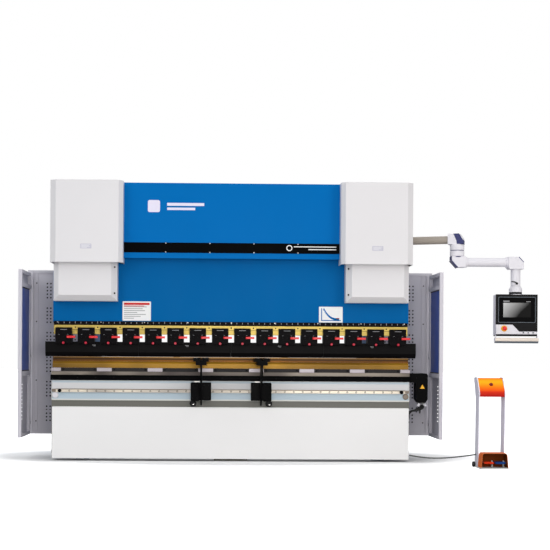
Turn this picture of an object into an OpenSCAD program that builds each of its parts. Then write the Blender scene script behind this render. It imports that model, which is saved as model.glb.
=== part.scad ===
// Hydraulic CNC press brake, 3200 mm bed, with side guards, control arm and foot station.
// Millimetres. +X runs right along the bed, -Y is the operator's side, +Z is up.
// The origin is on the floor, midway along the bed, straight below the bending line.

/* [Tooling] */
// Distance between the centres of neighbouring punch clamps
clamp_pitch = 200; // [196:1:202]
// Length of one section of the punch
punch_section = 835; // [820:5:835]
// Gap left for the sheet between the closed punch and the die
sheet_gap = 1; // [1:1:3]
// Width of the V groove in the die
v_width = 24; // [20:2:24]

/* [Heights] */
// Top edge of the painted front apron
apron_top = 480; // [460:5:490]
// Top of the welded bed, where the crowning table sits
bed_top = 715; // [712:1:718]
// Top of the side frames
frame_top = 2400; // [2390:5:2420]
// Top of the upper covers
cover_top = 2480; // [2470:5:2500]

/* [Frame] */
// Thickness of each C-shaped side plate
plate_t = 50; // [40:5:50]
// Distance of each side plate's middle from the machine's middle
plate_x = 1300; // [1295:1:1302]
// Depth of the throat behind the bending line
throat_y = 350; // [330:10:360]
// Overall depth of the side plates behind the bending line
frame_back = 1150; // [1120:10:1180]
// Radius of the lifting bores in the side plates
lifting_r = 30; // [25:1:32]
// Radius of the anchor holes in the foot plates
anchor_r = 14; // [10:1:16]

/* [Side guards] */
// Distance of each guard door's hinge line from the machine's middle
door_x = 1880; // [1870:5:1900]
// Top of the guard doors
door_top = 1700; // [1650:10:1740]
// Reach of a door in front of the bending line
door_front = 130; // [100:10:150]

/* [Control arm] */
// Height of the upper tube's axis
upper_tube_z = 2001; // [1995:1:2006]
// Radius of both arm tubes
tube_r = 40; // [36:1:42]
// Distance along X from the elbow to the pendant's axis
lower_reach = 532; // [505:1:545]
// Width of the pendant box
pendant_w = 375; // [360:5:380]

/* [Foot station] */
// Distance along X from the machine's middle to the station's middle
station_x = 2208; // [2190:1:2220]
// Height of the station's head
station_top = 767; // [750:1:780]

/* [Hidden] */
$fn = 64;
clamp_count = 16;
clamp_half = 74;                               // half width of a clamp body
bed_half = clamp_pitch * clamp_count / 2;      // 1600 at the standard pitch
joint_gap = 0.5;                               // gap between neighbouring punch sections
sheet = 3;                                     // thickness of the folded covers
running = 0.05;                                // radial clearance of a pin in its bore

// heights of the stack on the bed, from the bed up to the closed tools
base_top = bed_top + 47;
band_top = base_top + 31;
holder_top = band_top + 33;
die_shoulder = holder_top + 59;
die_top = holder_top + 100;
tip_z = die_top + sheet_gap;
clamp_low = tip_z + 111;                       // bottom of the clamps' front lips
seat_z = tip_z + 133;                          // shoulder where the punch seats
adapter_low = tip_z + 200;
clamp_top = tip_z + 259;
ram_low = tip_z + 309;
notch_z = tip_z + 544;                         // floor of the ram's notches under the cylinders
ram_top = tip_z + 1164;

// planes across the machine
bed_front = -100;
bed_back = 40;                                 // rear face of the bed and front edge of the lower arms
upper_front = 118;                             // front edge of the frames' upper arms
ram_half_t = 30;
plate_in = plate_x - plate_t / 2;
plate_out = plate_x + plate_t / 2;
cylinder_x = 1300;

// punch clamps
lever_offset = 38;                             // lever pin, from the clamp's middle
lever_y = -90;
lever_z = tip_z + 174;
lever_half_h = 9.5;
lever_length = 68;
lever_pin_r = 4;
button_z = tip_z + 121;
button_stem_r = 6;

// control arm: root pivot, elbow and pendant axis
arm_root = [1480, 160];
elbow = [2035, -40];
pendant_x = elbow[0] + lower_reach;
lower_tube_z = upper_tube_z - 202;
root_pin_r = 20;
elbow_pin_r = 25;
pendant_pin_r = 20;
ring_r = 64;
drop_low = upper_tube_z - 412;
box_top = upper_tube_z - 492;
box_low = box_top - 374;
box_front = -95;
box_back = 15;
pendant_stop_x = pendant_x - 114;
pendant_stop_z = box_low + 67;

// foot station
post_in = 106;                                 // inner face of a side plate, from the station's middle
post_out = 114;
pedal_pin = [-690, 52];                        // Y and Z of the pedals' pin
pedal_pin_r = 5;
head_angle = atan2(127, 100);                  // slope of the head's panel
station_stop = [-640, station_top - 63.5];     // Y and Z of the stop button's middle on the panel

// guard doors
door_hinge_y = 415;
door_low = 200;
door_half_t = 15;
door_hinge_z = [333, 957, 1597];
hinge_pin_r = 6;
window_z = [790, 1550];

// electrical cabinet on the right side plate
cabinet_x = [plate_out, 1725];
cabinet_y = [480, 1000];
cabinet_z = [600, 1700];
cabinet_hinge = [1738, 1014];

// backgauge
gauge_rail_x = 900;
gauge_finger_x = 500;
screw_r = 12;
screw_z = 680;

// front supports
support_x = 265;
rail_z = 624;

// ---- helpers ----

function clamp_x(i) = (i - (clamp_count + 1) / 2) * clamp_pitch;
function lever_name(i) = str("clamp_lever_", i < 10 ? "0" : "", i);

// a box between the two ends given for each axis
module span(x, y, z) {
    translate([x[0], y[0], z[0]]) cube([x[1] - x[0], y[1] - y[0], z[1] - z[0]]);
}

module both_sides() {
    children();
    mirror([1, 0, 0]) children();
}

// an outline in Y and Z, drawn out along X
module along_x(x) {
    translate([x[0], 0, 0]) rotate([90, 0, 90]) linear_extrude(x[1] - x[0]) children();
}

// an outline in X and Z, drawn out along Y
module along_y(y) {
    translate([0, y[1], 0]) rotate([90, 0, 0]) linear_extrude(y[1] - y[0]) children();
}

module pin_x(y, z, x, r) {
    translate([x[0], y, z]) rotate([0, 90, 0]) cylinder(h = x[1] - x[0], r = r);
}

module pin_y(x, z, y, r) {
    translate([x, y[1], z]) rotate([90, 0, 0]) cylinder(h = y[1] - y[0], r = r);
}

module pin_z(x, y, z, r) {
    translate([x, y, z[0]]) cylinder(h = z[1] - z[0], r = r);
}

// a round bar between two points
module bar(a, b, r) {
    d = b - a;
    translate(a) rotate([0, acos(d[2] / norm(d)), atan2(d[1], d[0])]) cylinder(h = norm(d), r = r);
}

// a round pipe through a list of points, with ball corners
module pipe(points, r) {
    for (i = [0 : len(points) - 2]) bar(points[i], points[i + 1], r);
    for (i = [1 : len(points) - 2]) translate(points[i]) sphere(r);
}

// a flexible cable through a list of points
module cable(points, r) {
    for (i = [0 : len(points) - 2]) hull() {
        translate(points[i]) sphere(r, $fn = 12);
        translate(points[i + 1]) sphere(r, $fn = 12);
    }
}

// ---- frame, bed and table ----

// the C-shaped throat, with rounded inner corners
module throat() {
    corner = 60;
    translate([0, 760]) square([throat_y - corner, 740]);
    translate([throat_y - corner - 1, 760 + corner]) square([corner + 1, 740 - 2 * corner]);
    for (z = [760 + corner, 1500 - corner]) translate([throat_y - corner, z]) circle(corner);
}

// a foot plate beside a side plate, drilled for one anchor
module foot_plate(y) {
    difference() {
        span([plate_out, plate_out + 75], [y - 50, y + 50], [0, 40]);
        pin_z(plate_out + 40, y, [-1, 41], anchor_r);
    }
}

module welded_frame() color("steelblue") {
    both_sides() {
        difference() {
            along_x([plate_in, plate_out]) difference() {
                polygon([[bed_back, 0], [frame_back, 0], [frame_back, frame_top - 500],
                    [frame_back - 250, frame_top], [upper_front, frame_top],
                    [upper_front, 760], [bed_back, 760]]);
                throat();
            }
            pin_x(500, frame_top - 70, [plate_in - 1, plate_out + 1], lifting_r);
        }
        foot_plate(110);
        foot_plate(frame_back - 80);
    }
    span([-plate_in, plate_in], [150, 300], [2150, 2350]);
    span([-plate_in, plate_in], [frame_back - 100, frame_back], [150, 400]);
    // bracket and pin that carry the control arm
    span([plate_out, arm_root[0]], [arm_root[1] - 32, arm_root[1] + 32],
        [upper_tube_z - 85, upper_tube_z - 55]);
    pin_z(arm_root[0], arm_root[1], [upper_tube_z - 85, upper_tube_z - 55], 40);
    pin_z(arm_root[0], arm_root[1], [upper_tube_z - 60, upper_tube_z + 48], root_pin_r);
}

module bed_beam() color("gainsboro") {
    face_low = apron_top + 56;
    span([-bed_half, bed_half], [bed_front, -65], [face_low, bed_top]);
    span([-bed_half, bed_half], [bed_front + 12, -65], [60, face_low]);
    span([-bed_half, bed_half], [bed_back - 35, bed_back], [60, bed_top]);
    span([-bed_half, bed_half], [-66, bed_back - 34], [bed_top - 40, bed_top]);
    ribs = 6;
    for (i = [0 : ribs]) {
        x = -bed_half + i * (2 * bed_half - 30) / ribs;
        span([x, x + 30], [-66, bed_back - 34], [60, bed_top - 39]);
    }
    // foot under the middle of the bed
    span([-150, 150], [bed_front + 12, bed_back], [0, 61]);
}

module front_apron() color("whitesmoke") {
    half = bed_half - 12;
    low = 22;
    span([-half, half], [-150, -150 + sheet], [low, apron_top]);
    both_sides() span([half - sheet, half], [-150, bed_front + 12], [low, apron_top]);
    span([-half, half], [-150, bed_front + 12], [apron_top - sheet, apron_top]);
}

module crowning_table() color("dimgray") {
    half = bed_half + 10;
    span([-half, half], [-110, bed_back - 2], [bed_top, base_top]);
    span([-half, half], [-60, 38], [base_top, band_top]);
    span([-bed_half, bed_half], [-55, 38], [band_top, holder_top]);
    for (i = [0 : 3]) both_sides() {
        x = 227 + 454 * i;
        span([x - 66, min(x + 66, half)], [-72, -54], [band_top, holder_top]);
    }
}

module crowning_drive_box() color("#1c1c1e") {
    left = bed_half + 10;
    along_y([-75, 75]) polygon([[left, bed_top - 6], [left + 58, bed_top - 6],
        [left + 58, 560], [left + 80, 527], [left + 140, 527], [left + 162, 560],
        [left + 162, base_top + 14], [left + 150, band_top - 1], [left, band_top - 1]]);
    for (x = [90, 132]) pin_z(left + x, 0, [500, 528], 11);
}

module lower_die() color("goldenrod") {
    v_depth = v_width * 14 / 24;
    along_x([-bed_half, bed_half]) polygon([[-45, holder_top], [45, holder_top],
        [45, die_shoulder - 19], [30, die_shoulder], [28, die_shoulder], [28, die_top],
        [v_width / 2, die_top], [0, die_top - v_depth], [-v_width / 2, die_top],
        [-28, die_top], [-28, die_shoulder], [-30, die_shoulder], [-45, die_shoulder - 19]]);
}

module support_rail() color("silver") {
    span([-1560, 1560], [bed_front - 23, bed_front], [rail_z - 15, rail_z + 15]);
    both_sides() pin_y(1525, rail_z, [bed_front - 36, bed_front - 22], 14);
}

// ---- hydraulics ----

module oil_tank() color("lightsteelblue") {
    difference() {
        span([-plate_in, plate_in], [340, 800], [1700, 2100]);
        span([-plate_in + 6, plate_in - 6], [346, 794], [1706, 2094]);
        pin_z(700, 570, [2090, 2101], 35);
    }
}

module hydraulic_power_unit() color("slategray") {
    motor = [560, 2240];
    pin_x(motor[0], motor[1], [-420, -60], 110);
    pin_x(motor[0], motor[1], [-61, 130], 62);
    span([-400, -80], [motor[0] - 90, motor[0] + 90], [2100, 2160]);
    span([90, 130], [motor[0] - 60, motor[0] + 60], [2100, 2240]);
    span([180, 420], [370, 470], [2100, 2220]);
    pipe([[110, 560, 2150], [250, 560, 2150], [250, 460, 2150]], 14);
    pin_z(700, 570, [2100, 2185], 45);
    pipe([[200, 420, 2125], [-1235, 420, 2125], [-1235, upper_front, 2125]], 12);
    pipe([[400, 420, 2125], [1235, 420, 2125], [1235, upper_front, 2125]], 12);
}

module hydraulic_cylinders() color("dimgray") both_sides() {
    difference() {
        union() {
            pin_z(cylinder_x, 0, [1700, 2250], 105);
            span([cylinder_x - 80, cylinder_x + 80], [60, upper_front], [1750, 2200]);
        }
        pin_z(cylinder_x, 0, [1740, 2225], 80);
        pin_z(cylinder_x, 0, [1699, 1741], 65 + running);
    }
}

module piston_rods() color("silver") both_sides() {
    pin_z(cylinder_x, 0, [notch_z, notch_z + 30], 95);
    pin_z(cylinder_x, 0, [notch_z + 30, 1802], 65);
    pin_z(cylinder_x, 0, [1762, 1802], 80 - 2 * running);
}

// ---- upper covers ----

// plan outline of an upper cover, drawn in by a wall's thickness
module cover_plan(t) {
    polygon([[964 + t, 20 + t], [964 + t, -225 - t / 3], [1000 + t / 2, -270 + t],
        [1551 - t / 2, -270 + t], [1604 - t, -225 - t / 3], [1604 - t, 20 + t]]);
}

module cylinder_covers() color("whitesmoke") both_sides() {
    difference() {
        translate([0, 0, 1756]) linear_extrude(cover_top - 1756) cover_plan(0);
        translate([0, 0, 1755]) linear_extrude(cover_top - 1755 - sheet) cover_plan(sheet);
        // room for the ram behind the inner wall
        span([963, 968], [-ram_half_t - 4, 21], [1755, ram_top + 200]);
    }
    span([cylinder_x - 20, cylinder_x + 20], [-268, upper_front], [2330, 2370]);
}

module front_panel() color("royalblue") {
    low = 1807;
    top = cover_top - 1;
    span([-964, 964], [-120, -120 + sheet], [low, top]);
    span([-964, 964], [-120, -40], [low, low + sheet]);
    span([-964, 964], [-120, 300], [top - sheet, top]);
    both_sides() span([590, 610], [150, 300], [2350, top - 1]);
    // dark band and its fixing screws
    span([-964, 964], [-121.5, -119], [1856, 1947]);
    for (x = [197, 590], z = [1862, 1941]) both_sides() pin_y(x, z, [-124, -121], 5);
}

// ---- ram ----

module ram_plate() color("mediumblue") {
    along_y([-ram_half_t, ram_half_t]) polygon([[-bed_half, ram_low], [bed_half, ram_low],
        [bed_half, notch_z + 220], [1420, notch_z + 220], [1420, notch_z], [1180, notch_z],
        [1180, ram_top], [-1180, ram_top], [-1180, notch_z], [-1420, notch_z],
        [-1420, notch_z + 220], [-bed_half, notch_z + 220]]);
    // T-shaped guide rails on the back
    both_sides() {
        span([1138, 1152], [ram_half_t - 1, 43], [ram_low + 145, ram_top - 10]);
        span([1128, 1162], [42, 58], [ram_low + 145, ram_top - 10]);
    }
}

module ram_guides() color("darkgray") both_sides() {
    difference() {
        union() {
            span([1100, 1190], [34, upper_front], [1560, 1900]);
            span([1189, plate_in], [100, 170], [1560, 1690]);
        }
        span([1137, 1153], [33, 42], [1559, 1901]);
        span([1127, 1163], [41, 59], [1559, 1901]);
    }
}

// outer form of the lower cover, drawn in by a wall's thickness
module rod_cover_form(t) {
    intersection() {
        translate([0, 0, 1400]) linear_extrude(401) polygon([[1018 + t, -30 + t], [1018 + t, -140 - t / 3],
            [1068 + t / 2, -190 + t], [1533 - t / 2, -190 + t], [1583 - t, -140 - t / 3],
            [1583 - t, -30 + t]]);
        along_x([1010, 1590]) polygon([[-30 + t, 1420 + t], [-140 - t / 3, 1420 + t],
            [-190 + t, 1470 + t / 2], [-190 + t, 1800 + t], [-30 + t, 1800 + t]]);
    }
}

module rod_covers() color("white") both_sides() {
    difference() {
        rod_cover_form(0);
        rod_cover_form(sheet);
    }
}

module tool_adapter() color("goldenrod") {
    half = bed_half - 8;
    span([-half, half], [-28, 28], [adapter_low, ram_low]);
    span([-half, half], [-34, -27], [ram_low - 38, ram_low]);
}

// ---- punch clamps and punch ----

module clamp_bodies() color("#222224") {
    for (i = [1 : clamp_count]) {
        x = clamp_x(i);
        difference() {
            along_x([x - clamp_half, x + clamp_half]) polygon([
                [-78, clamp_low + 5], [-73, clamp_low], [-27, clamp_low], [-27, seat_z],
                [-8, seat_z], [-8, seat_z + 31], [8, seat_z + 31], [8, seat_z], [30, seat_z],
                [30, adapter_low], [-28, adapter_low], [-28, clamp_top], [-73, clamp_top],
                [-78, clamp_top - 5]]);
            pin_y(x, button_z, [-79, -50], button_stem_r + running);
            pin_y(x, lever_z, [-79, -72], 5);
        }
        // screws
        for (dx = [-lever_offset, lever_offset]) pin_y(x + dx, lever_z + 21, [-82, -77], 6.5);
        // lugs and pin of the lever
        for (z = [lever_z - 14, lever_z + 10.5])
            span([x + lever_offset - 8, x + lever_offset + 8], [-98, -77], [z, z + 3.5]);
        pin_z(x + lever_offset, lever_y, [lever_z - 13, lever_z + 13], lever_pin_r);
    }
}

module clamp_lever(i) color("crimson") {
    x = clamp_x(i) + lever_offset;
    z = [lever_z - lever_half_h, lever_z + lever_half_h];
    difference() {
        union() {
            pin_z(x, lever_y, z, 9);
            span([x, x + lever_length], [lever_y - 7, lever_y + 7], z);
        }
        pin_z(x, lever_y, [z[0] - 1, z[1] + 1], lever_pin_r + running);
    }
}

module clamp_buttons() color("#b01030") {
    for (i = [1 : clamp_count]) {
        pin_y(clamp_x(i), button_z, [-95, -84], 11);
        pin_y(clamp_x(i), button_z, [-85, -58], button_stem_r);
    }
}

module punch() color("#2a2a2c") difference() {
    for (i = [-2 : 1]) {
        along_x([i * punch_section + joint_gap / 2, (i + 1) * punch_section - joint_gap / 2])
            polygon([[-1, tip_z], [1, tip_z], [13, tip_z + 15], [13, tip_z + 49],
                [25, tip_z + 69], [25, seat_z], [7, seat_z], [7, seat_z + 29],
                [-7, seat_z + 29], [-7, seat_z], [-25, seat_z], [-25, tip_z + 39]]);
    }
    // the tang is cut away between the clamps and beyond the last ones
    for (i = [0 : clamp_count]) {
        x = clamp_x(i + 0.5);
        span([x - (i == 0 ? 90 : 27), x + (i == clamp_count ? 90 : 27)], [-8, 8],
            [seat_z, seat_z + 30]);
    }
}

// ---- side guards ----

module guard_panels() color("silver") both_sides() {
    span([plate_out, door_x - 20], [450, 453], [198, 1730]);
    for (z = [198, 1705]) span([plate_out, door_x - 20], [440, 465], [z, z + 25]);
    span([door_x - 30, door_x + 20], [440, 470], [198, 1730]);
    for (z = door_hinge_z) {
        span([door_x - 6, door_x + 6], [door_hinge_y, 441], [z - 40, z - 16]);
        pin_z(door_x, door_hinge_y, [z - 40, z - 16], 13);
        pin_z(door_x, door_hinge_y, [z - 17, z + 16], hinge_pin_r);
    }
}

module door_leaf() {
    y = [-door_front, door_hinge_y - 20];
    difference() {
        span([door_x - door_half_t, door_x + door_half_t], y, [door_low, door_top]);
        // window opening
        span([door_x - 16, door_x + 16], [y[0] + 35, y[1] - 30], window_z);
        // folded panels, recessed on the inner side
        span([door_x - 16, door_x + 12], [y[0] + 35, y[1] - 30], [door_low + 30, window_z[0] - 35]);
        span([door_x - 16, door_x + 12], [y[0] + 35, y[1] - 30], [window_z[1] + 35, door_top - 30]);
        // ventilation slots
        for (i = [0 : 9]) span([door_x + 8, door_x + 16], [60, 110], [350 + 35 * i, 358 + 35 * i]);
    }
    for (z = door_hinge_z) difference() {
        union() {
            pin_z(door_x, door_hinge_y, [z - 15, z + 15], 13);
            span([door_x - 6, door_x + 6], [y[1] - 1, door_hinge_y], [z - 15, z + 15]);
        }
        pin_z(door_x, door_hinge_y, [z - 16, z + 16], hinge_pin_r + running);
    }
}

module door_window() {
    span([door_x - 3, door_x + 3], [-door_front + 35, door_hinge_y - 50], window_z);
}

module door_right() color("lightgray") door_leaf();
module door_left() color("lightgray") mirror([1, 0, 0]) door_leaf();
module door_window_right() color("steelblue", 0.5) door_window();
module door_window_left() color("steelblue", 0.5) mirror([1, 0, 0]) door_window();

// ---- electrical cabinet ----

module electrical_cabinet() color("gainsboro") {
    difference() {
        span(cabinet_x, cabinet_y, cabinet_z);
        span([cabinet_x[0] + 5, cabinet_x[1] + 1], [cabinet_y[0] + 5, cabinet_y[1] - 5],
            [cabinet_z[0] + 5, cabinet_z[1] - 5]);
    }
    // mounting plate with a drive, a supply and two rows of terminals and relays
    span([cabinet_x[0] + 4, cabinet_x[0] + 20], [530, 950], [660, 1640]);
    for (y = [560, 660]) span([cabinet_x[0] + 19, cabinet_x[0] + 180], [y, y + 80], [1300, 1580]);
    span([cabinet_x[0] + 19, cabinet_x[0] + 140], [780, 920], [1350, 1580]);
    for (z = [880, 1080]) span([cabinet_x[0] + 19, cabinet_x[0] + 90], [560, 920], [z, z + 90]);
    // door pins
    for (z = [760, 1540]) {
        span([cabinet_x[1] - 20, cabinet_hinge[0]], [cabinet_y[1] - 1, cabinet_hinge[1]],
            [z - 36, z - 16]);
        pin_z(cabinet_hinge[0], cabinet_hinge[1], [z - 36, z - 16], 10);
        pin_z(cabinet_hinge[0], cabinet_hinge[1], [z - 17, z + 16], 5);
    }
}

module cabinet_door() color("gainsboro") {
    span([cabinet_x[1] + 2, cabinet_x[1] + 20], [cabinet_y[0] + 2, cabinet_y[1] - 6],
        [cabinet_z[0] + 2, cabinet_z[1] - 2]);
    for (z = [760, 1540]) difference() {
        union() {
            pin_z(cabinet_hinge[0], cabinet_hinge[1], [z - 15, z + 15], 10);
            span([cabinet_hinge[0] - 5, cabinet_hinge[0] + 5],
                [cabinet_y[1] - 7, cabinet_hinge[1]], [z - 15, z + 15]);
        }
        pin_z(cabinet_hinge[0], cabinet_hinge[1], [z - 16, z + 16], 5 + running);
    }
    // quarter-turn latch
    pin_x(540, 1150, [cabinet_x[1] + 19, cabinet_x[1] + 26], 14);
}

// ---- backgauge ----

module backgauge_rails() color("gray") {
    both_sides() {
        span([gauge_rail_x - 40, gauge_rail_x + 40], [bed_back, 880], [640, 720]);
        span([gauge_rail_x - 10, gauge_rail_x + 10], [bed_back + 10, 870], [719, 738]);
    }
    difference() {
        union() {
            span([-plate_in, plate_in], [880, 940], [600, 720]);
            span([-35, 35], [bed_back, 76], [645, 715]);
        }
        pin_y(0, screw_z, [50, 938], screw_r + running);
    }
    span([-55, 55], [940, 1040], [screw_z - 55, screw_z + 55]);
}

module backgauge_screw() color("silver") {
    pin_y(0, screw_z, [52, 936], screw_r);
}

module backgauge_beam() color("lightslategray") {
    difference() {
        union() {
            span([-1150, 1150], [330, 410], [780, 860]);
            span([-35, 35], [335, 405], [650, 781]);
            both_sides() span([gauge_rail_x - 32, gauge_rail_x + 32], [320, 420], [724, 781]);
        }
        both_sides() span([gauge_rail_x - 11, gauge_rail_x + 11], [319, 421], [723, 739]);
        pin_y(0, screw_z, [334, 406], screw_r + 2 * running);
    }
}

// a stop finger that rides across the beam
module gauge_finger(x) {
    along_x([x - 30, x + 30]) polygon([[420, 861], [420, 900], [330, 905], [300, 945],
        [200, 945], [200, 927], [290, 927], [315, 861]]);
    along_x([x - 45, x + 45]) polygon([[329, 861], [329, 820], [315, 820], [315, 880],
        [425, 880], [425, 820], [411, 820], [411, 861]]);
}

module backgauge_finger_left() color("silver") gauge_finger(-gauge_finger_x);
module backgauge_finger_right() color("silver") gauge_finger(gauge_finger_x);

// ---- front supports ----

// side is +1 for the right arm and -1 for the left one
module support_arm(side) {
    x = side * support_x;
    rib_half = 7;
    top = die_top - 5;
    // carriage around the rail
    difference() {
        span([x - 88, x + 88], [-165, bed_front - 4], [541, 700]);
        span([x - 89, x + 89], [bed_front - 24, bed_front - 3], [rail_z - 16, rail_z + 16]);
    }
    // rib
    along_x([x - rib_half, x + rib_half]) polygon([[-120, top - 60], [-470, top - 60],
        [-470, top - 95], [-210, 500], [-166, 500], [-164, 541], [-164, 700], [-120, 700]]);
    // head with a T slot along its top
    difference() {
        union() {
            span([x - 67, x + 67], [-470, -52], [top - 31, top]);
            span([x - 46, x + 46], [-470, -52], [top - 63, top - 30]);
        }
        span([x - 7, x + 7], [-471, -51], [top - 12, top + 1]);
        span([x - 12, x + 12], [-471, -51], [top - 22, top - 11]);
    }
    // lock knob under the carriage
    pin_y(x + side * 70, 514, [-150, -128], 27);
    span([x + side * 70 - 12, x + side * 70 + 12], [-145, -130], [530, 545]);
}

module support_arm_left() color("dimgray") support_arm(-1);
module support_arm_right() color("dimgray") support_arm(1);

// ---- control arm ----

module arm_upper() color("gainsboro") {
    z = upper_tube_z;
    hub = [arm_root[0], arm_root[1], z];
    top = [elbow[0], elbow[1], z];
    difference() {
        union() {
            pin_z(arm_root[0], arm_root[1], [z - 54, z + 50], 52);
            bar(hub, top, tube_r);
        }
        pin_z(arm_root[0], arm_root[1], [z - 55, z + 49], root_pin_r + running);
    }
    // elbow: a round turret with its outer top corner cut off at a slope
    intersection() {
        pin_z(elbow[0], elbow[1], [z - 42, z + 52], 58);
        along_y([elbow[1] - 60, elbow[1] + 60]) polygon([[elbow[0] - 60, z - 42],
            [elbow[0] + 60, z - 42], [elbow[0] + 60, z + 5], [elbow[0] + 28, z + 52],
            [elbow[0] - 60, z + 52]]);
    }
    pin_z(elbow[0], elbow[1], [z - 92, z - 41], ring_r);
    pin_z(elbow[0], elbow[1], [z - 145, z - 91], elbow_pin_r);
}

module arm_lower() color("gainsboro") {
    z = lower_tube_z;
    difference() {
        union() {
            pin_z(elbow[0], elbow[1], [z + 48, z + 109], ring_r);
            // turret with its outer bottom corner cut off at a slope
            intersection() {
                pin_z(elbow[0], elbow[1], [z - 48, z + 49], 56);
                along_y([elbow[1] - 60, elbow[1] + 60]) polygon([[elbow[0] - 60, z + 49],
                    [elbow[0] + 60, z + 49], [elbow[0] + 60, z - 48], [elbow[0] + 5, z - 48],
                    [elbow[0] - 60, z + 12]]);
            }
        }
        pin_z(elbow[0], elbow[1], [z + 50, z + 110], elbow_pin_r + running);
    }
    bar([elbow[0], elbow[1], z], [pendant_x, elbow[1], z], tube_r);
    // end elbow, cut off at a slope on its outer top corner
    intersection() {
        pin_z(pendant_x, elbow[1], [z - 62, z + 48], 62);
        along_y([elbow[1] - 65, elbow[1] + 65]) polygon([[pendant_x - 65, z - 62],
            [pendant_x + 65, z - 62], [pendant_x + 65, z + 5], [pendant_x + 22, z + 48],
            [pendant_x - 65, z + 48]]);
    }
    pin_z(pendant_x, elbow[1], [drop_low, z - 61], 43);
    pin_z(pendant_x, elbow[1], [drop_low - 40, drop_low + 1], pendant_pin_r);
    // clamping handle on the drop tube
    span([pendant_x - 58, pendant_x - 20], [elbow[1] - 52, elbow[1] - 38],
        [drop_low + 24, drop_low + 34]);
}

module pendant_box() color("gainsboro") {
    cy = elbow[1];
    half = pendant_w / 2;
    difference() {
        union() {
            pin_z(pendant_x, cy, [drop_low - 57, drop_low - 1], 59);
            pin_z(pendant_x, cy, [box_top - 1, drop_low - 56], 56);
            span([pendant_x - half, pendant_x + half], [box_front, box_back], [box_low, box_top]);
        }
        pin_z(pendant_x, cy, [drop_low - 45, drop_low], pendant_pin_r + running);
        pin_y(pendant_stop_x, pendant_stop_z, [box_front - 1, box_front + 30], 12 + running);
    }
    // handle bar under the box
    pin_x(-80, box_low - 41, [pendant_x - half - 9, pendant_x + half + 9], 25);
    for (x = [pendant_x - half, pendant_x + half - 12])
        span([x, x + 12], [-95, -65], [box_low - 45, box_low + 1]);
}

module pendant_estop() color("red") {
    pin_y(pendant_stop_x, pendant_stop_z, [box_front - 26, box_front - 10], 19);
    pin_y(pendant_stop_x, pendant_stop_z, [box_front - 11, box_front + 20], 12);
}

// ---- foot station ----

// side plate of the stand: upright, then leaning back beside the head
module station_side(x) {
    along_x(x) polygon([[-660, 12], [-540, 12], [-566, 600], [-500, station_top + 4],
        [-600, station_top + 4], [-695, 640], [-690, 600]]);
}

module station_stand() color("lavender") {
    station_side([station_x - post_out, station_x - post_in]);
    station_side([station_x + post_in, station_x + post_out]);
    span([station_x - 118, station_x + 118], [-800, -540], [4, 13]);
    // pedal pin and its lugs
    for (x = [-102, -5, 92]) span([station_x + x, station_x + x + 10], [-702, -678], [12, 62]);
    pin_x(pedal_pin[0], pedal_pin[1], [station_x - 100, station_x + 100], pedal_pin_r);
    // rollers at the back corners
    for (x = [-138, 115]) pin_x(-560, 24, [station_x + x, station_x + x + 23], 24);
}

module station_covers() color("orange") {
    // head with a sloping panel
    difference() {
        along_x([station_x - post_in, station_x + post_in]) polygon([[-690, 606],
            [-690, station_top - 127], [-590, station_top], [-540, station_top],
            [-540, station_top - 60], [-620, 606]]);
        translate([station_x, station_stop[0], station_stop[1]]) rotate([head_angle, 0, 0])
            translate([0, 0, -20]) cylinder(h = 40, r = 8 + running);
    }
    // hood over the pedals, open to the front
    difference() {
        along_y([-800, -670]) polygon([[station_x - 116, 13], [station_x + 116, 13],
            [station_x + 106, 128], [station_x + 96, 138], [station_x - 96, 138],
            [station_x - 106, 128]]);
        along_y([-801, -673]) polygon([[station_x - 113, 12], [station_x + 113, 12],
            [station_x + 103, 127], [station_x + 95, 135], [station_x - 95, 135],
            [station_x - 103, 127]]);
    }
}

module station_estop() color("darkred") {
    translate([station_x, station_stop[0], station_stop[1]]) rotate([head_angle, 0, 0]) {
        translate([0, 0, 6]) cylinder(h = 14, r = 15);
        translate([0, 0, -15]) cylinder(h = 22, r = 8);
    }
}

module pedal(x) {
    difference() {
        union() {
            span([x - 41, x + 41], [-796, -686], [50, 60]);
            pin_x(pedal_pin[0], pedal_pin[1], [x - 41, x + 41], 9);
        }
        pin_x(pedal_pin[0], pedal_pin[1], [x - 42, x + 42], pedal_pin_r + running);
    }
}

module pedal_down() color("orangered") pedal(station_x - 48);
module pedal_up() color("navy") pedal(station_x + 48);

// ---- cables ----

module cables() color("#202020") {
    right = bed_half + 10;
    // drive cables, from the glands to the bed's end
    cable([[right + 132, 0, 485], [right + 128, 0, 466], [right + 90, 0, 448],
        [right + 40, 0, 440], [right + 12, 0, 424], [bed_half + 15, 0, 400]], 14);
    cable([[right + 90, 0, 488], [right + 84, 0, 470], [right + 40, 0, 448]], 10);
    // cable that lies on the floor between the bed and the foot station
    start = [bed_half + 2, -120, 60];
    end = [station_x - post_out - 8, -620, 112];
    sag = 28;
    steps = 8;
    cable([for (i = [0 : steps]) let (t = i / steps) start + t * (end - start)
        - [0, 0, 4 * sag * t * (1 - t)]], 6);
}

welded_frame();
bed_beam();
front_apron();
crowning_table();
crowning_drive_box();
lower_die();
oil_tank();
hydraulic_power_unit();
hydraulic_cylinders();
cylinder_covers();
front_panel();
ram_guides();
electrical_cabinet();
cabinet_door();
guard_panels();
support_rail();
backgauge_rails();
cables();
station_stand();
station_covers();
ram_plate();
rod_covers();
piston_rods();
tool_adapter();
clamp_bodies();
punch();
clamp_buttons();
door_left();
door_window_left();
door_right();
door_window_right();
backgauge_beam();
backgauge_screw();
backgauge_finger_left();
backgauge_finger_right();
support_arm_left();
support_arm_right();
arm_upper();
arm_lower();
pendant_box();
pendant_estop();
pedal_down();
pedal_up();
station_estop();
for (i = [1 : clamp_count]) clamp_lever(i);
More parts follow.
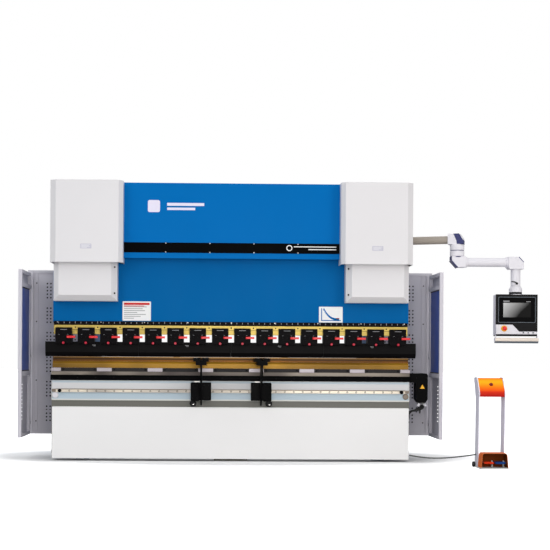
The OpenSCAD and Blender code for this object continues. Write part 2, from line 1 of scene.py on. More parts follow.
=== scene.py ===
"""Looks of the press brake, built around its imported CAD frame.

Shapes are written in millimetres in the CAD's own frame, and become metres when a piece is made.
The operator stands on the -Y side. Places come from the boxes of the CAD nodes."""

import math

import bmesh
import bpy
from mathutils import Matrix, Vector


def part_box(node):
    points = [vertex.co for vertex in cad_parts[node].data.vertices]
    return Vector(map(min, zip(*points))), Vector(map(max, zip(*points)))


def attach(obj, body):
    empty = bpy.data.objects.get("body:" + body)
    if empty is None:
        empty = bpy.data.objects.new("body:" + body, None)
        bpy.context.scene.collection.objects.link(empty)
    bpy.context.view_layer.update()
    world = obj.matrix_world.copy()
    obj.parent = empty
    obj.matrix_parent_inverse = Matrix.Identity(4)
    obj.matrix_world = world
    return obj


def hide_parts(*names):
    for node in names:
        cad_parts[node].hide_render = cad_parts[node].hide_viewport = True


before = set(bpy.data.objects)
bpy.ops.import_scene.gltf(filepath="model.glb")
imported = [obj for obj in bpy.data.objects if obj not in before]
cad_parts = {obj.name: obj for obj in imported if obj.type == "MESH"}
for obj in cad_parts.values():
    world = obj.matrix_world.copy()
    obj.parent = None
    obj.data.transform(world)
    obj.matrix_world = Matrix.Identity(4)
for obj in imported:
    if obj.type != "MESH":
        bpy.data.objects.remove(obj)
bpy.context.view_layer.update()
MM = 0.001


def edges(node):
    """The (low, high) pairs of a CAD node's box along X, Y and Z, in millimetres."""
    low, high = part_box(node)
    return [(low[k] / MM, high[k] / MM) for k in range(3)]


# ---- materials ----


def rgb(red, green, blue):
    """A colour given as screen values from 0 to 255, in linear light."""
    values = [c / 255 for c in (red, green, blue)]
    linear = [c / 12.92 if c < 0.04045 else ((c + 0.055) / 1.055) ** 2.4 for c in values]
    return (*linear, 1.0)


class Graph:
    """The nodes of one material, around a Principled shader. Lengths are metres of the object."""

    def __init__(self, name):
        self.material = bpy.data.materials.new(name)
        self.material.use_nodes = True
        self.tree = self.material.node_tree
        self.tree.nodes.clear()
        self.shader = self.add("ShaderNodeBsdfPrincipled", {})
        output = self.add("ShaderNodeOutputMaterial", {})
        self.tree.links.new(self.shader.outputs[0], output.inputs["Surface"])
        self.place = self.add("ShaderNodeTexCoord", {}).outputs["Object"]
        self.normal = self.add("ShaderNodeNewGeometry", {}).outputs["Normal"]

    def add(self, kind, inputs, **settings):
        node = self.tree.nodes.new(kind)
        for key, value in settings.items():
            setattr(node, key, value)
        for key, value in inputs.items():
            self.put(node.inputs[key], value)
        return node

    def put(self, socket, value):
        if isinstance(value, bpy.types.NodeSocket):
            self.tree.links.new(value, socket)
        else:
            socket.default_value = value

    def set(self, **inputs):
        """Sets the shader's inputs; an underscore in a name stands for a space."""
        for key, value in inputs.items():
            self.put(self.shader.inputs[key.replace("_", " ")], value)

    def maths(self, operation, a, b=0.0):
        return self.add("ShaderNodeMath", {0: a, 1: b}, operation=operation).outputs[0]

    def remap(self, value, low, high, to_low=0.0, to_high=1.0):
        inputs = {0: value, 1: low, 2: high, 3: to_low, 4: to_high}
        return self.add("ShaderNodeMapRange", inputs).outputs[0]

    def mix(self, factor, a, b):
        return self.add("ShaderNodeMix", {0: factor, 6: a, 7: b}, data_type="RGBA").outputs[2]

    def noise(self, scale, detail=2.0, stretch=(1, 1, 1)):
        inputs = {0: self.place, 1: stretch}
        place = self.add("ShaderNodeVectorMath", inputs, operation="MULTIPLY").outputs[0]
        inputs = {"Vector": place, "Scale": scale, "Detail": detail}
        return self.add("ShaderNodeTexNoise", inputs).outputs[0]

    def along(self, axis):
        """The object's coordinate along an axis, 0 for X, 1 for Y or 2 for Z."""
        return self.add("ShaderNodeSeparateXYZ", {0: self.place}).outputs[axis]

    def facing(self, axis):
        return self.add("ShaderNodeSeparateXYZ", {0: self.normal}).outputs[axis]

    def edge(self, radius, share=0.25):
        """1 on edges sharper than a radius in metres, 0 on flat faces."""
        rounded = self.add("ShaderNodeBevel", {"Radius": radius}, samples=4).outputs[0]
        inputs = {0: self.normal, 1: rounded}
        same = self.add("ShaderNodeVectorMath", inputs, operation="DOT_PRODUCT").outputs["Value"]
        return self.remap(self.maths("SUBTRACT", 1.0, same), 0.01, share)

    def bump(self, height, depth, strength=1.0):
        inputs = {"Strength": strength, "Distance": depth, "Height": height}
        self.set(Normal=self.add("ShaderNodeBump", inputs).outputs[0])


def shade(colour, factor):
    return (*(min(1.0, c * factor) for c in colour[:3]), 1.0)


def paint(name, colour, rough=0.38, tone=0.05, peel=0.00012, wear=None, coat=0.0, spec=0.2):
    """Sprayed coating: drifting tone, orange peel, dust on what faces up, lighter edges."""
    g = Graph(name)
    drift = g.remap(g.noise(1.7, 4.0), 0.3, 0.7)
    body = g.mix(drift, shade(colour, 1 - tone), shade(colour, 1 + tone))
    dusty = g.maths("MULTIPLY", g.remap(g.facing(2), 0.8, 1.0, 0.0, 0.22), g.noise(9.0, 5.0))
    body = g.mix(dusty, body, rgb(170, 165, 158))
    if wear:
        worn = g.maths("MULTIPLY", g.edge(0.0025), g.remap(g.noise(60.0, 4.0), 0.42, 0.6))
        body = g.mix(worn, body, wear)
    smear = g.remap(g.noise(5.0, 5.0, (1, 1, 0.4)), 0.35, 0.7, rough - 0.06, rough + 0.09)
    g.set(Base_Color=body, Roughness=smear, Specular_IOR_Level=spec)
    g.set(Coat_Weight=coat, Coat_Roughness=0.12)
    g.bump(g.noise(420.0, 1.0), peel)
    return g.material


def steel(name, colour, rough=0.3, grain=(1, 30, 30), tone=0.18, metal=1.0, scale=55.0, wear=None, spec=0.5):
    """Ground or brushed metal: fine lines along one axis, blotches and brighter edges."""
    g = Graph(name)
    lines = g.noise(scale, 3.0, grain)
    blotch = g.remap(g.noise(4.0, 4.0), 0.3, 0.7)
    body = g.mix(lines, shade(colour, 1 - tone), shade(colour, 1 + tone))
    body = g.mix(g.maths("MULTIPLY", blotch, 0.35), body, shade(colour, 0.72))
    if wear:
        body = g.mix(g.maths("MULTIPLY", g.edge(0.002), 0.7), body, wear)
    polish = g.remap(lines, 0.25, 0.75, rough - 0.08, rough + 0.1)
    g.set(Base_Color=body, Metallic=metal, Roughness=polish, Specular_IOR_Level=spec)
    g.bump(lines, 0.00006)
    return g.material


def moulded(name, colour, rough=0.42, grain=0.00008, tone=0.07, spec=0.45):
    """Moulded plastic: fine sparkle grain, faint flow marks, rubbed edges."""
    g = Graph(name)
    flow = g.remap(g.noise(14.0, 3.0), 0.3, 0.7)
    body = g.mix(flow, shade(colour, 1 - tone), shade(colour, 1 + tone))
    rubbed = g.maths("MULTIPLY", g.edge(0.0015), 0.25)
    body = g.mix(rubbed, body, shade(colour, 1.5))
    g.set(Base_Color=body, Specular_IOR_Level=spec)
    g.set(Roughness=g.remap(g.noise(30.0, 4.0), 0.3, 0.7, rough - 0.05, rough + 0.08))
    g.bump(g.noise(900.0, 2.0), grain)
    return g.material


def banded(name, levels, rough, metal, soft=0.001, tone=0.1, spec=0.5, drift=0.0):
    """Colour bands at heights above the floor, (height in mm, colour) upwards; besides the thing's own colour
    the bands paint its light, as painted highlights and painted shade.
    """
    g = Graph(name)
    height = g.along(2)
    body = levels[0][1]
    for start, colour in levels[1:]:
        step = g.remap(height, start * MM - soft, start * MM + soft)
        body = g.mix(step, body, colour)
    # drift: dark brown in slow waves along X, painted reflections
    if drift:
        reflection_waves = g.noise(1.6, 2.0, (1, 0.2, 0.2))
        body = g.mix(g.remap(reflection_waves, 0.42, 0.62, 0.0, drift), body, rgb(48, 28, 6))
    lines = g.noise(45.0, 3.0, (1, 30, 30))
    body = g.mix(g.remap(lines, 0.3, 0.7, 0.0, tone), body, rgb(30, 26, 20))
    glow = g.maths("MULTIPLY", g.edge(0.002), 0.5)
    body = g.mix(glow, body, rgb(240, 235, 220))
    g.set(Base_Color=body, Metallic=metal, Roughness=g.remap(lines, 0.3, 0.7, rough, rough + 0.12))
    g.set(Specular_IOR_Level=spec)
    g.bump(lines, 0.00005)
    return g.material


def sheen(name, bright, dull, rough, metal):
    """Ground steel with painted reflections: bright and dull patches in slow waves along X."""
    g = Graph(name)
    painted_reflection_wave = g.remap(g.noise(1.4, 2.0, (1, 0.2, 0.2)), 0.38, 0.58)
    lines = g.noise(55.0, 3.0, (1, 30, 30))
    body = g.mix(painted_reflection_wave, dull, bright)
    body = g.mix(g.maths("MULTIPLY", lines, 0.12), body, shade(dull, 0.6))
    body = g.mix(g.maths("MULTIPLY", g.edge(0.002), 0.5), body, shade(dull, 0.5))
    g.set(Base_Color=body, Metallic=metal, Roughness=g.remap(lines, 0.3, 0.7, rough, rough + 0.12))
    g.bump(lines, 0.00005)
    return g.material


def glass(name, colour, rough=0.08, spec=0.25):
    """Tinted sheet, too dark to see through, with smears."""
    g = Graph(name)
    smears = g.remap(g.noise(6.0, 5.0, (1, 0.6, 0.3)), 0.35, 0.75)
    g.set(Base_Color=g.mix(smears, colour, shade(colour, 1.25)))
    g.set(Roughness=g.maths("ADD", g.maths("MULTIPLY", smears, 0.14), rough))
    g.set(Specular_IOR_Level=spec)
    g.bump(g.noise(8.0, 1.0), 0.0001)
    return g.material


def gradient(name, start, end, axis_from, axis_to, rough=0.12):
    """A screen that fades between two colours from one point in the frame to another (mm)."""
    g = Graph(name)
    a = Vector(axis_from) * MM
    d = Vector(axis_to) * MM - a
    shifted = g.add("ShaderNodeVectorMath", {0: g.place, 1: a}, operation="SUBTRACT").outputs[0]
    inputs = {0: shifted, 1: d / d.length_squared}
    share = g.add("ShaderNodeVectorMath", inputs, operation="DOT_PRODUCT").outputs["Value"]
    ripple = g.maths("MULTIPLY", g.maths("SUBTRACT", g.noise(9.0, 3.0), 0.5), 0.12)
    share = g.remap(g.maths("ADD", share, ripple), 0.0, 1.0)
    g.set(Base_Color=g.mix(share, start, end), Roughness=rough, Specular_IOR_Level=0.05)
    g.bump(g.noise(700.0, 1.0), 0.00001)
    return g.material


def rubber(name, colour):
    """Dull cable sheath with some dust on it."""
    g = Graph(name)
    dust = g.remap(g.noise(25.0, 4.0), 0.45, 0.75, 0.0, 0.3)
    g.set(Base_Color=g.mix(dust, colour, rgb(95, 92, 88)), Roughness=0.62)
    g.bump(g.noise(300.0, 3.0), 0.0002)
    return g.material


die_low, die_high = edges("lower_die")[2]
bed_low, bed_high = edges("bed_beam")[2]
station_high = edges("station_covers")[2][1]

cover_white = paint("cover_white", rgb(222, 220, 222), rough=0.42, tone=0.012)
apron_white = paint("apron_white", rgb(234, 233, 233), rough=0.45, tone=0.012)
panel_blue = paint("panel_blue", rgb(0, 105, 178), rough=0.4, tone=0.02, peel=0.00006, spec=0.03)
ram_blue = paint("ram_blue", rgb(0, 95, 159), rough=0.45, tone=0.03, peel=0.00008, spec=0.03)
frame_blue = paint("frame_blue", rgb(18, 92, 150), rough=0.45, tone=0.07, wear=rgb(120, 130, 140))
tank_blue = paint("tank_blue", rgb(95, 125, 150), rough=0.5, tone=0.07)
grey_paint = paint("grey_paint", rgb(205, 206, 204), rough=0.45, tone=0.04)
motor_grey = paint("motor_grey", rgb(88, 96, 104), rough=0.5, tone=0.1, wear=rgb(150, 150, 150))
guard_grey = paint("guard_grey", rgb(204, 201, 209), rough=0.5, tone=0.04)
black_paint = paint("black_paint", rgb(10, 10, 11), 0.42, 0.1, wear=rgb(48, 48, 50), spec=0.03)
black_gloss = paint("black_gloss", rgb(5, 5, 6), 0.4, 0.03, peel=0.00003, spec=0.02)
black_oxide = steel(
    "black_oxide", rgb(14, 12, 14), 0.45, (30, 30, 1), 0.2, 0.05, wear=rgb(56, 56, 58), spec=0.04
)
punch_steel = steel(
    "punch_steel", rgb(15, 14, 15), 0.45, (1, 30, 30), 0.2, 0.08, wear=rgb(74, 74, 78), spec=0.06
)
bright_steel = steel("bright_steel", rgb(196, 194, 192), 0.3)
chrome = steel("hard_chrome", rgb(225, 225, 228), 0.14, (1, 1, 30), 0.04)
# rail and crowning band: ground steel with painted reflections, bright and dull in waves along X
rail_steel_painted_sheen = sheen("rail_steel_painted_sheen", rgb(255, 242, 220), rgb(168, 160, 152), 0.35, 0.1)
band_steel_painted_sheen = sheen("band_steel_painted_sheen", rgb(150, 140, 128), rgb(70, 60, 56), 0.4, 0.3)
rail_edge = steel("rail_edge", rgb(128, 116, 104), 0.45, (1, 30, 30), 0.08, 0.3)
yellow_zinc = steel("yellow_zinc", rgb(204, 178, 92), 0.4, (30, 30, 1), 0.15, 0.55)
cast_iron = steel("cast_iron", rgb(34, 30, 30), 0.55, (1, 1, 1), 0.2, 0.5, 120.0)
block_grey = steel("block_grey", rgb(170, 162, 168), 0.4, (1, 30, 30), 0.08, 0.5)
arm_white = paint("arm_white", rgb(226, 224, 230), rough=0.35, tone=0.02)
tube_cream = paint("tube_cream", rgb(228, 216, 204), rough=0.3, tone=0.03)
# upper arm tube: painted shade, a darker beige copy of the arm's white paint
arm_tube_painted_shade = paint("arm_tube_painted_shade", rgb(164, 155, 145), rough=0.35, tone=0.04)
pendant_white = moulded("pendant_white", rgb(218, 216, 222), 0.4)
pendant_black = moulded("pendant_black", rgb(15, 15, 17), 0.4, spec=0.12)
navy = moulded("navy_trim", rgb(38, 42, 100), 0.4)
red_plastic = moulded("red_plastic", rgb(226, 22, 30), 0.34)
crimson = moulded("crimson_plastic", rgb(196, 14, 50), 0.34)
dark_red = moulded("dark_red", rgb(120, 18, 14), 0.35)
yellow_plastic = moulded("yellow_plastic", rgb(245, 178, 10), 0.4)
pedal_red = moulded("pedal_red", rgb(206, 48, 12), 0.45, spec=0.1)
pedal_blue = moulded("pedal_blue", rgb(14, 58, 124), 0.45, spec=0.1)
# painted shade inside the orange pedal hood
hood_painted_shade = moulded("hood_painted_shade", rgb(110, 48, 8), 0.5, spec=0.05)
mark_white = paint("mark_white", rgb(236, 236, 236), rough=0.5, tone=0.02)
mark_lavender = paint("mark_lavender", rgb(226, 222, 240), rough=0.5, tone=0.02)
mark_grey = paint("mark_grey", rgb(150, 150, 152), rough=0.5, tone=0.05)
plate_grey = paint("plate_grey", rgb(196, 194, 206), rough=0.4, tone=0.03)
mark_red = paint("mark_red", rgb(200, 40, 40), rough=0.5, tone=0.05)
window_blue = glass("window_blue", rgb(30, 70, 158), 0.3, 0.08)
screen_glass = glass("screen_glass", rgb(5, 5, 6), 0.22, 0.03)
cable_black = rubber("cable_rubber", rgb(26, 26, 28))
cable_grey = rubber("cable_grey", rgb(92, 94, 92))
station_white = paint("station_white", rgb(222, 220, 232), rough=0.35, tone=0.02)
# The die's gold is its oiled steel. The bands paint its light: the dark bands on the upper neck are painted
# shade and a painted reflection of the punch, the band below them is a painted highlight on the ledge, the
# top band a painted highlight along the top edge, and the drift adds painted reflections along X.
die_gold_with_painted_light = banded(
    "die_gold_with_painted_light",
    [
        (die_low, rgb(142, 106, 36)),
        (die_high - 62, rgb(188, 138, 36)),
        (die_high - 42, rgb(112, 66, 4)),
        (die_high - 28, rgb(56, 32, 0)),
        (die_high - 10, rgb(132, 96, 44)),
    ],
    rough=0.35,
    metal=0.7,
    drift=0.45,
)
# Bed face: pale paint, darker below 536 mm; the light band from 536 mm is a painted highlight along the lip,
# and the blue-grey bands below the rail and under the crowning table are painted shade.
bed_paint_with_painted_light = banded(
    "bed_paint_with_painted_light",
    [
        (bed_low, rgb(98, 97, 90)),
        (536, rgb(214, 214, 208)),
        (548, rgb(176, 194, 206)),
        (606, rgb(206, 206, 208)),
        (bed_high - 22, rgb(178, 192, 202)),
    ],
    rough=0.4,
    metal=0.0,
    soft=0.004,
    tone=0.04,
)
# Station orange: the hood's orange low down, then the head in bands that paint its light: red on the lip as
# painted shade, rising through orange to a yellow band as a painted highlight on the curved head.
orange_paint = banded(
    "orange_paint",
    [
        (0, rgb(218, 100, 18)),
        (170, rgb(176, 10, 0)),
        (station_high - 128, rgb(226, 50, 0)),
        (station_high - 96, rgb(255, 126, 0)),
        (station_high - 52, rgb(255, 182, 10)),
        (station_high - 16, rgb(248, 112, 0)),
    ],
    rough=0.42,
    metal=0.0,
    soft=0.022,
    spec=0.15,
    tone=0.03,
)

# ---- shapes ----

PLACES = {
    "x": lambda a, b, t: (t, a, b),
    "y": lambda a, b, t: (a, t, b),
    "z": lambda a, b, t: (a, b, t),
}


def rect(a, b):
    return [(a[0], b[0]), (a[1], b[0]), (a[1], b[1]), (a[0], b[1])]


def arc(centre, r, start, end, steps=6):
    """Points along an arc, between two angles in degrees."""
    angles = [math.radians(start + (end - start) * k / steps) for k in range(steps + 1)]
    return [(centre[0] + r * math.cos(t), centre[1] + r * math.sin(t)) for t in angles]


def round_rect(a, b, r, steps=4):
    corners = ((a[1] - r, b[0] + r), (a[1] - r, b[1] - r), (a[0] + r, b[1] - r), (a[0] + r, b[0] + r))
    points = []
    for k, corner in enumerate(corners):
        points += arc(corner, r, 90 * k - 90, 90 * k, steps)
    return points


def circle(centre, r, sides):
    return arc(centre, r, 0, 360 - 360 / sides, sides - 1)


def flow(points, steps=8):
    """A smooth curve through points in space."""
    p = [Vector(v) for v in points]
    p = [2 * p[0] - p[1], *p, 2 * p[-1] - p[-2]]
    curve = []
    for a, b, c, d in zip(p, p[1:], p[2:], p[3:]):
        for k in range(steps):
            t = k / steps
            bend = (2 * a - 5 * b + 4 * c - d) * t * t + (3 * b - a - 3 * c + d) * t * t * t
            curve.append(0.5 * (2 * b + (c - a) * t + bend))
    return [*curve, p[-2]]


class Shape:
    """A mesh in the making, in millimetres. What is added takes the material numbered ink."""

    def __init__(self):
        self.mesh = bmesh.new()
        self.ink = 0

    def face(self, corners):
        self.mesh.faces.new(corners).material_index = self.ink

    def ring(self, outline, axis, t):
        return [self.mesh.verts.new(PLACES[axis](a, b, t)) for a, b in outline]

    def skin(self, rings, joined=False):
        """Faces between rings of points. The ends are closed, or joined to each other."""
        for low, high in zip(rings, rings[1:] + rings[:1] if joined else rings[1:]):
            for k in range(len(low)):
                n = (k + 1) % len(low)
                self.face([low[k], low[n], high[n], high[k]])
        if not joined:
            self.face(rings[0][::-1])
            self.face(rings[-1])
        return [v for ring in rings for v in ring]

    def prism(self, outline, axis, span):
        """An outline drawn out along an axis: (Y, Z) points for x, (X, Z) for y, (X, Y) for z."""
        return self.skin([self.ring(outline, axis, t) for t in span])

    def box(self, x, y, z):
        return self.prism(rect(x, y), "z", z)

    def frame(self, outer, inner, axis, span):
        """A flat ring between two outlines with the same number of points."""
        rings = [self.ring(outer, axis, t) for t in span]
        rings += [self.ring(inner, axis, t) for t in span[::-1]]
        return self.skin(rings, joined=True)

    def turned(self, axis, centre, profile, sides=32):
        """A turned shape: (place along the axis, radius) pairs."""
        return self.skin([self.ring(circle(centre, r, sides), axis, t) for t, r in profile])

    def rod(self, axis, centre, span, r, sides=32):
        return self.turned(axis, centre, [(span[0], r), (span[1], r)], sides)

    def screw(self, axis, centre, face, height, r):
        """A socket head screw; a negative height stands out towards the low end of the axis."""
        top = face + height
        profile = [(face, r), (top - 0.15 * height, r), (top, 0.88 * r), (top, 0.5 * r)]
        return self.turned(axis, centre, [*profile, (top - 0.6 * height, 0.45 * r)], 12)

    def bolt(self, axis, centre, face, height, r):
        """A hexagon head on a washer."""
        self.rod(axis, centre, (face, face + 0.25 * height), 1.25 * r, 20)
        return self.rod(axis, centre, (face + 0.2 * height, face + height), r, 6)

    def tube(self, path, r, sides=12):
        """A round tube along a path."""
        path = [Vector(p) for p in path]
        side = (path[1] - path[0]).orthogonal()
        rings = []
        for k, point in enumerate(path):
            ahead = (path[min(k + 1, len(path) - 1)] - path[max(k - 1, 0)]).normalized()
            side = (side - ahead * side.dot(ahead)).normalized()
            up = ahead.cross(side)
            turns = [2 * math.pi * n / sides for n in range(sides)]
            rings.append(
                [self.mesh.verts.new(point + r * (math.cos(t) * side + math.sin(t) * up)) for t in turns]
            )
        return self.skin(rings)

    def move(self, verts, matrix):
        bmesh.ops.transform(self.mesh, matrix=matrix, verts=verts)
        return verts

    def mirror(self):
        """Adds a copy of everything so far on the other side of the machine."""
        made = bmesh.ops.duplicate(
            self.mesh, geom=self.mesh.verts[:] + self.mesh.edges[:] + self.mesh.faces[:]
        )
        verts = [v for v in made["geom"] if isinstance(v, bmesh.types.BMVert)]
        self.move(verts, Matrix.Scale(-1, 4, (1, 0, 0)))


def soften(obj, bevel, angle=30):
    """Rounds the edges of a mesh, and shades it smooth between them."""
    mod = obj.modifiers.new("edges", "BEVEL")
    mod.width = bevel * MM
    mod.segments = 2
    mod.limit_method = "ANGLE"
    mod.angle_limit = math.radians(angle)
    mod.harden_normals = True


def piece(name, body, shape, materials, bevel=0.0):
    """Turns a shape into a named piece that rides on a body."""
    bmesh.ops.recalc_face_normals(shape.mesh, faces=shape.mesh.faces[:])
    shape.mesh.transform(Matrix.Scale(MM, 4))
    mesh = bpy.data.meshes.new(name)
    shape.mesh.to_mesh(mesh)
    shape.mesh.free()
    for material in materials:
        mesh.materials.append(material)
    mesh.polygons.foreach_set("use_smooth", [True] * len(mesh.polygons))
    if not bevel:
        mesh.set_sharp_from_angle(angle=math.radians(35))
    obj = bpy.data.objects.new(name, mesh)
    bpy.context.scene.collection.objects.link(obj)
    if bevel:
        soften(obj, bevel)
    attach(obj, body)
    return obj


# ---- CAD nodes that stay ----


def dress(node, material, bevel):
    """Gives a CAD node its material and rounded edges; its own mesh stays as it is."""
    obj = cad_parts[node]
    mesh = obj.data
    custom = mesh.attributes.get("custom_normal")
    if custom:
        mesh.attributes.remove(custom)
    mesh.polygons.foreach_set("use_smooth", [True] * len(mesh.polygons))
    mesh.materials.clear()
    mesh.materials.append(material)
    weld = obj.modifiers.new("weld", "WELD")
    weld.merge_threshold = 0.01 * MM
    flat = obj.modifiers.new("flat", "DECIMATE")
    flat.decimate_type = "DISSOLVE"
    flat.angle_limit = math.radians(0.5)
    soften(obj, bevel)


KEPT = {
    "welded_frame": (frame_blue, 2.0),
    "bed_beam": (bed_paint_with_painted_light, 1.5),
    "front_apron": (apron_white, 1.2),
    "crowning_drive_box": (black_paint, 3.0),
    "lower_die": (die_gold_with_painted_light, 0.8),
    "oil_tank": (tank_blue, 3.0),
    "hydraulic_power_unit": (motor_grey, 1.5),
    "hydraulic_cylinders": (black_paint, 2.5),
    "cylinder_covers": (cover_white, 1.2),
    "front_panel": (panel_blue, 0.8),
    "ram_guides": (cast_iron, 1.5),
    "electrical_cabinet": (grey_paint, 1.5),
    "cabinet_door": (grey_paint, 2.0),
    "backgauge_rails": (frame_blue, 1.5),
    "ram_plate": (ram_blue, 1.5),
    "rod_covers": (cover_white, 1.2),
    "piston_rods": (chrome, 1.5),
    "tool_adapter": (yellow_zinc, 1.0),
    "clamp_bodies": (black_oxide, 1.5),
    "punch": (punch_steel, 0.6),
    "door_left": (guard_grey, 1.5),
    "door_right": (guard_grey, 1.5),
    "door_window_left": (window_blue, 0.6),
    "door_window_right": (window_blue, 0.6),
    "backgauge_beam": (grey_paint, 2.0),
    "backgauge_screw": (bright_steel, 0.5),
    "backgauge_finger_left": (bright_steel, 1.0),
    "backgauge_finger_right": (bright_steel, 1.0),
    "support_arm_left": (black_paint, 1.2),
    "support_arm_right": (black_paint, 1.2),
}
for node, (material, bevel) in KEPT.items():
    dress(node, material, bevel)
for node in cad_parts:
    if node.startswith("clamp_lever"):
        dress(node, red_plastic, 2.0)

# ---- places shared by several parts ----

first_lever = edges("clamp_lever_01")
last_lever = edges("clamp_lever_16")
CLAMPS = 16
clamp_pitch = (last_lever[0][0] - first_lever[0][0]) / (CLAMPS - 1)
clamp_places = [(k - (CLAMPS - 1) / 2) * clamp_pitch for k in range(CLAMPS)]
clamp_face = -78
ram_z = edges("ram_plate")[2]
ram_front = -30
cover_x, cover_y, cover_z = edges("cylinder_covers")
panel_x, panel_z = edges("front_panel")[::2]
adapter_x, adapter_y, adapter_z = edges("tool_adapter")
button_y, button_z = edges("clamp_buttons")[1:]
bed_x, bed_y, bed_z = edges("bed_beam")

# ---- front panel, covers and ram ----


def band_and_marks():
    """The dark band across the panel with its screws, and a plain square beside two plain lines."""
    low, high = panel_z[0] + 49, panel_z[0] + 140
    half = panel_x[1] - 1
    shape = Shape()
    shape.box((-half, half), (-123, -121.6), (low, high))
    shape.ink = 1
    for x in (-590, -197, 197, 590):
        for z in (low + 6, high - 6):
            shape.turned("y", (x, z), [(-121.6, 6), (-124, 5.6), (-125, 3.5)], 20)
    shape.ink = 2
    for z, width in ((low + 62, 380), (low + 38, 250)):
        shape.box((half - 30 - width, half - 30), (-123.6, -122.9), (z - 4, z + 4))
    shape.frame(
        circle((half - 450, low + 50), 27, 28), circle((half - 450, low + 50), 19, 28), "y", (-123.6, -122.9)
    )
    piece("panel_band", "machine", shape, [black_gloss, bright_steel, mark_white], 0.4)

    shape = Shape()
    left, z, y = -752, panel_z[1] - 262, (-121.2, -119.9)
    shape.prism(round_rect((left, left + 108), (z, z + 108), 16), "y", y)
    for low, high, width in ((z + 20, z + 42, 250), (z + 58, z + 84, 330)):
        shape.box((left + 172, left + 172 + width), y, (low, high))
    piece("panel_mark", "machine", shape, [mark_lavender], 0.3)


def plates():
    """Data plate, chart plate and the small plates on the covers."""
    y = (ram_front - 1.6, ram_front + 0.2)
    lift = (ram_front - 2.0, ram_front - 1.5)
    shape = Shape()
    x, z = (-978, -724), (ram_z[0] + 14, ram_z[0] + 188)
    shape.prism(round_rect(x, z, 5), "y", y)
    shape.ink = 1
    shape.box((x[0] + 12, x[1] - 12), lift, (z[1] - 32, z[1] - 12))
    shape.box((x[0] + 12, x[1] - 60), lift, (z[1] - 44, z[1] - 38))
    shape.ink = 2
    for k in range(7):
        width = (204, 168, 190, 120, 196, 150, 90)[k]
        shape.box((x[0] + 12, x[0] + 12 + width), lift, (z[1] - 52 - 17 * k, z[1] - 46 - 17 * k))
    shape.ink = 3
    for a in (x[0] + 7, x[1] - 7):
        for b in (z[0] + 7, z[1] - 7):
            shape.turned("y", (a, b), [(y[0] + 0.2, 3.2), (y[0] - 1.2, 2.4)], 10)
    piece("data_plate", "ram", shape, [mark_white, mark_red, mark_grey, bright_steel], 0.3)

    shape = Shape()
    x, z = (790, 1004), (ram_z[0] + 10, ram_z[0] + 152)
    shape.prism(round_rect(x, z, 5), "y", y)
    shape.ink = 1
    shape.box((x[0] + 20, x[0] + 28), lift, (z[0] + 14, z[1] - 14))
    shape.box((x[0] + 20, x[1] - 16), lift, (z[0] + 14, z[0] + 22))
    steps = 14
    for k in range(steps):
        t = k / (steps - 1)
        a = x[0] + 40 + 130 * t
        b = z[1] - 22 - 88 * (1 - (1 - t) ** 2.6)
        shape.prism([(a, b - 12), (a + 12, b - 16), (a + 12, b + 3), (a, b + 8)], "y", lift)
    shape.ink = 2
    shape.box((x[1] - 58, x[1] - 30), lift, (z[0] + 30, z[0] + 40))
    piece("chart_plate", "ram", shape, [mark_white, panel_blue, mark_red], 0.0)

    shape = Shape()
    y = (cover_y[0] - 1.2, cover_y[0] + 0.2)
    z = (cover_z[1] - 605, cover_z[1] - 563)
    for left in (-1334, 1236):
        shape.ink = 0
        shape.prism(round_rect((left, left + 98), z, 4), "y", y)
        shape.ink = 1
        for k, width in enumerate((80, 66, 74, 50)):
            high = z[1] - 8 - 8 * k
            shape.box((left + 9, left + 9 + width), (y[0] - 0.4, y[0] + 0.1), (high - 3, high))
    piece("cover_plates", "machine", shape, [plate_grey, mark_white], 0.0)


def cover_details():
    """Screws of the rod covers, and the screws and hatch on each cylinder cover's outer side."""
    rod_z = edges("rod_covers")[2]
    shape = Shape()
    for side in (-1, 1):
        for z in (rod_z[0] + 69, rod_z[1] - 79):
            verts = shape.screw("y", (0, 0), 0, -5, 8)
            turn = Matrix.Rotation(math.radians(-45 * side), 4, "Z")
            shape.move(verts, Matrix.Translation((side * 1041, -165.5, z)) @ turn)
    piece("rod_cover_screws", "ram", shape, [black_oxide], 0.0)

    shape = Shape()
    x_side = cover_x[1]
    for z in (cover_z[0] + 60, (cover_z[0] + cover_z[1]) / 2, cover_z[1] - 60):
        for y in (-190, -20):
            shape.screw("x", (y, z), x_side - 0.5, 4, 8)
    shape.ink = 1
    # lift-out hatch on the outer side
    y, z = (-185, -25), (cover_z[1] - 330, cover_z[1] - 110)
    shape.prism(round_rect(y, z, 14), "x", (x_side - 0.5, x_side + 1.6))
    shape.ink = 0
    for a in (y[0] + 14, y[1] - 14):
        for b in (z[0] + 14, z[1] - 14):
            shape.screw("x", (a, b), x_side + 1.4, 3, 6)
    shape.mirror()
    piece("cover_fittings", "machine", shape, [black_oxide, cover_white], 0.5)


# ---- clamps and tools ----


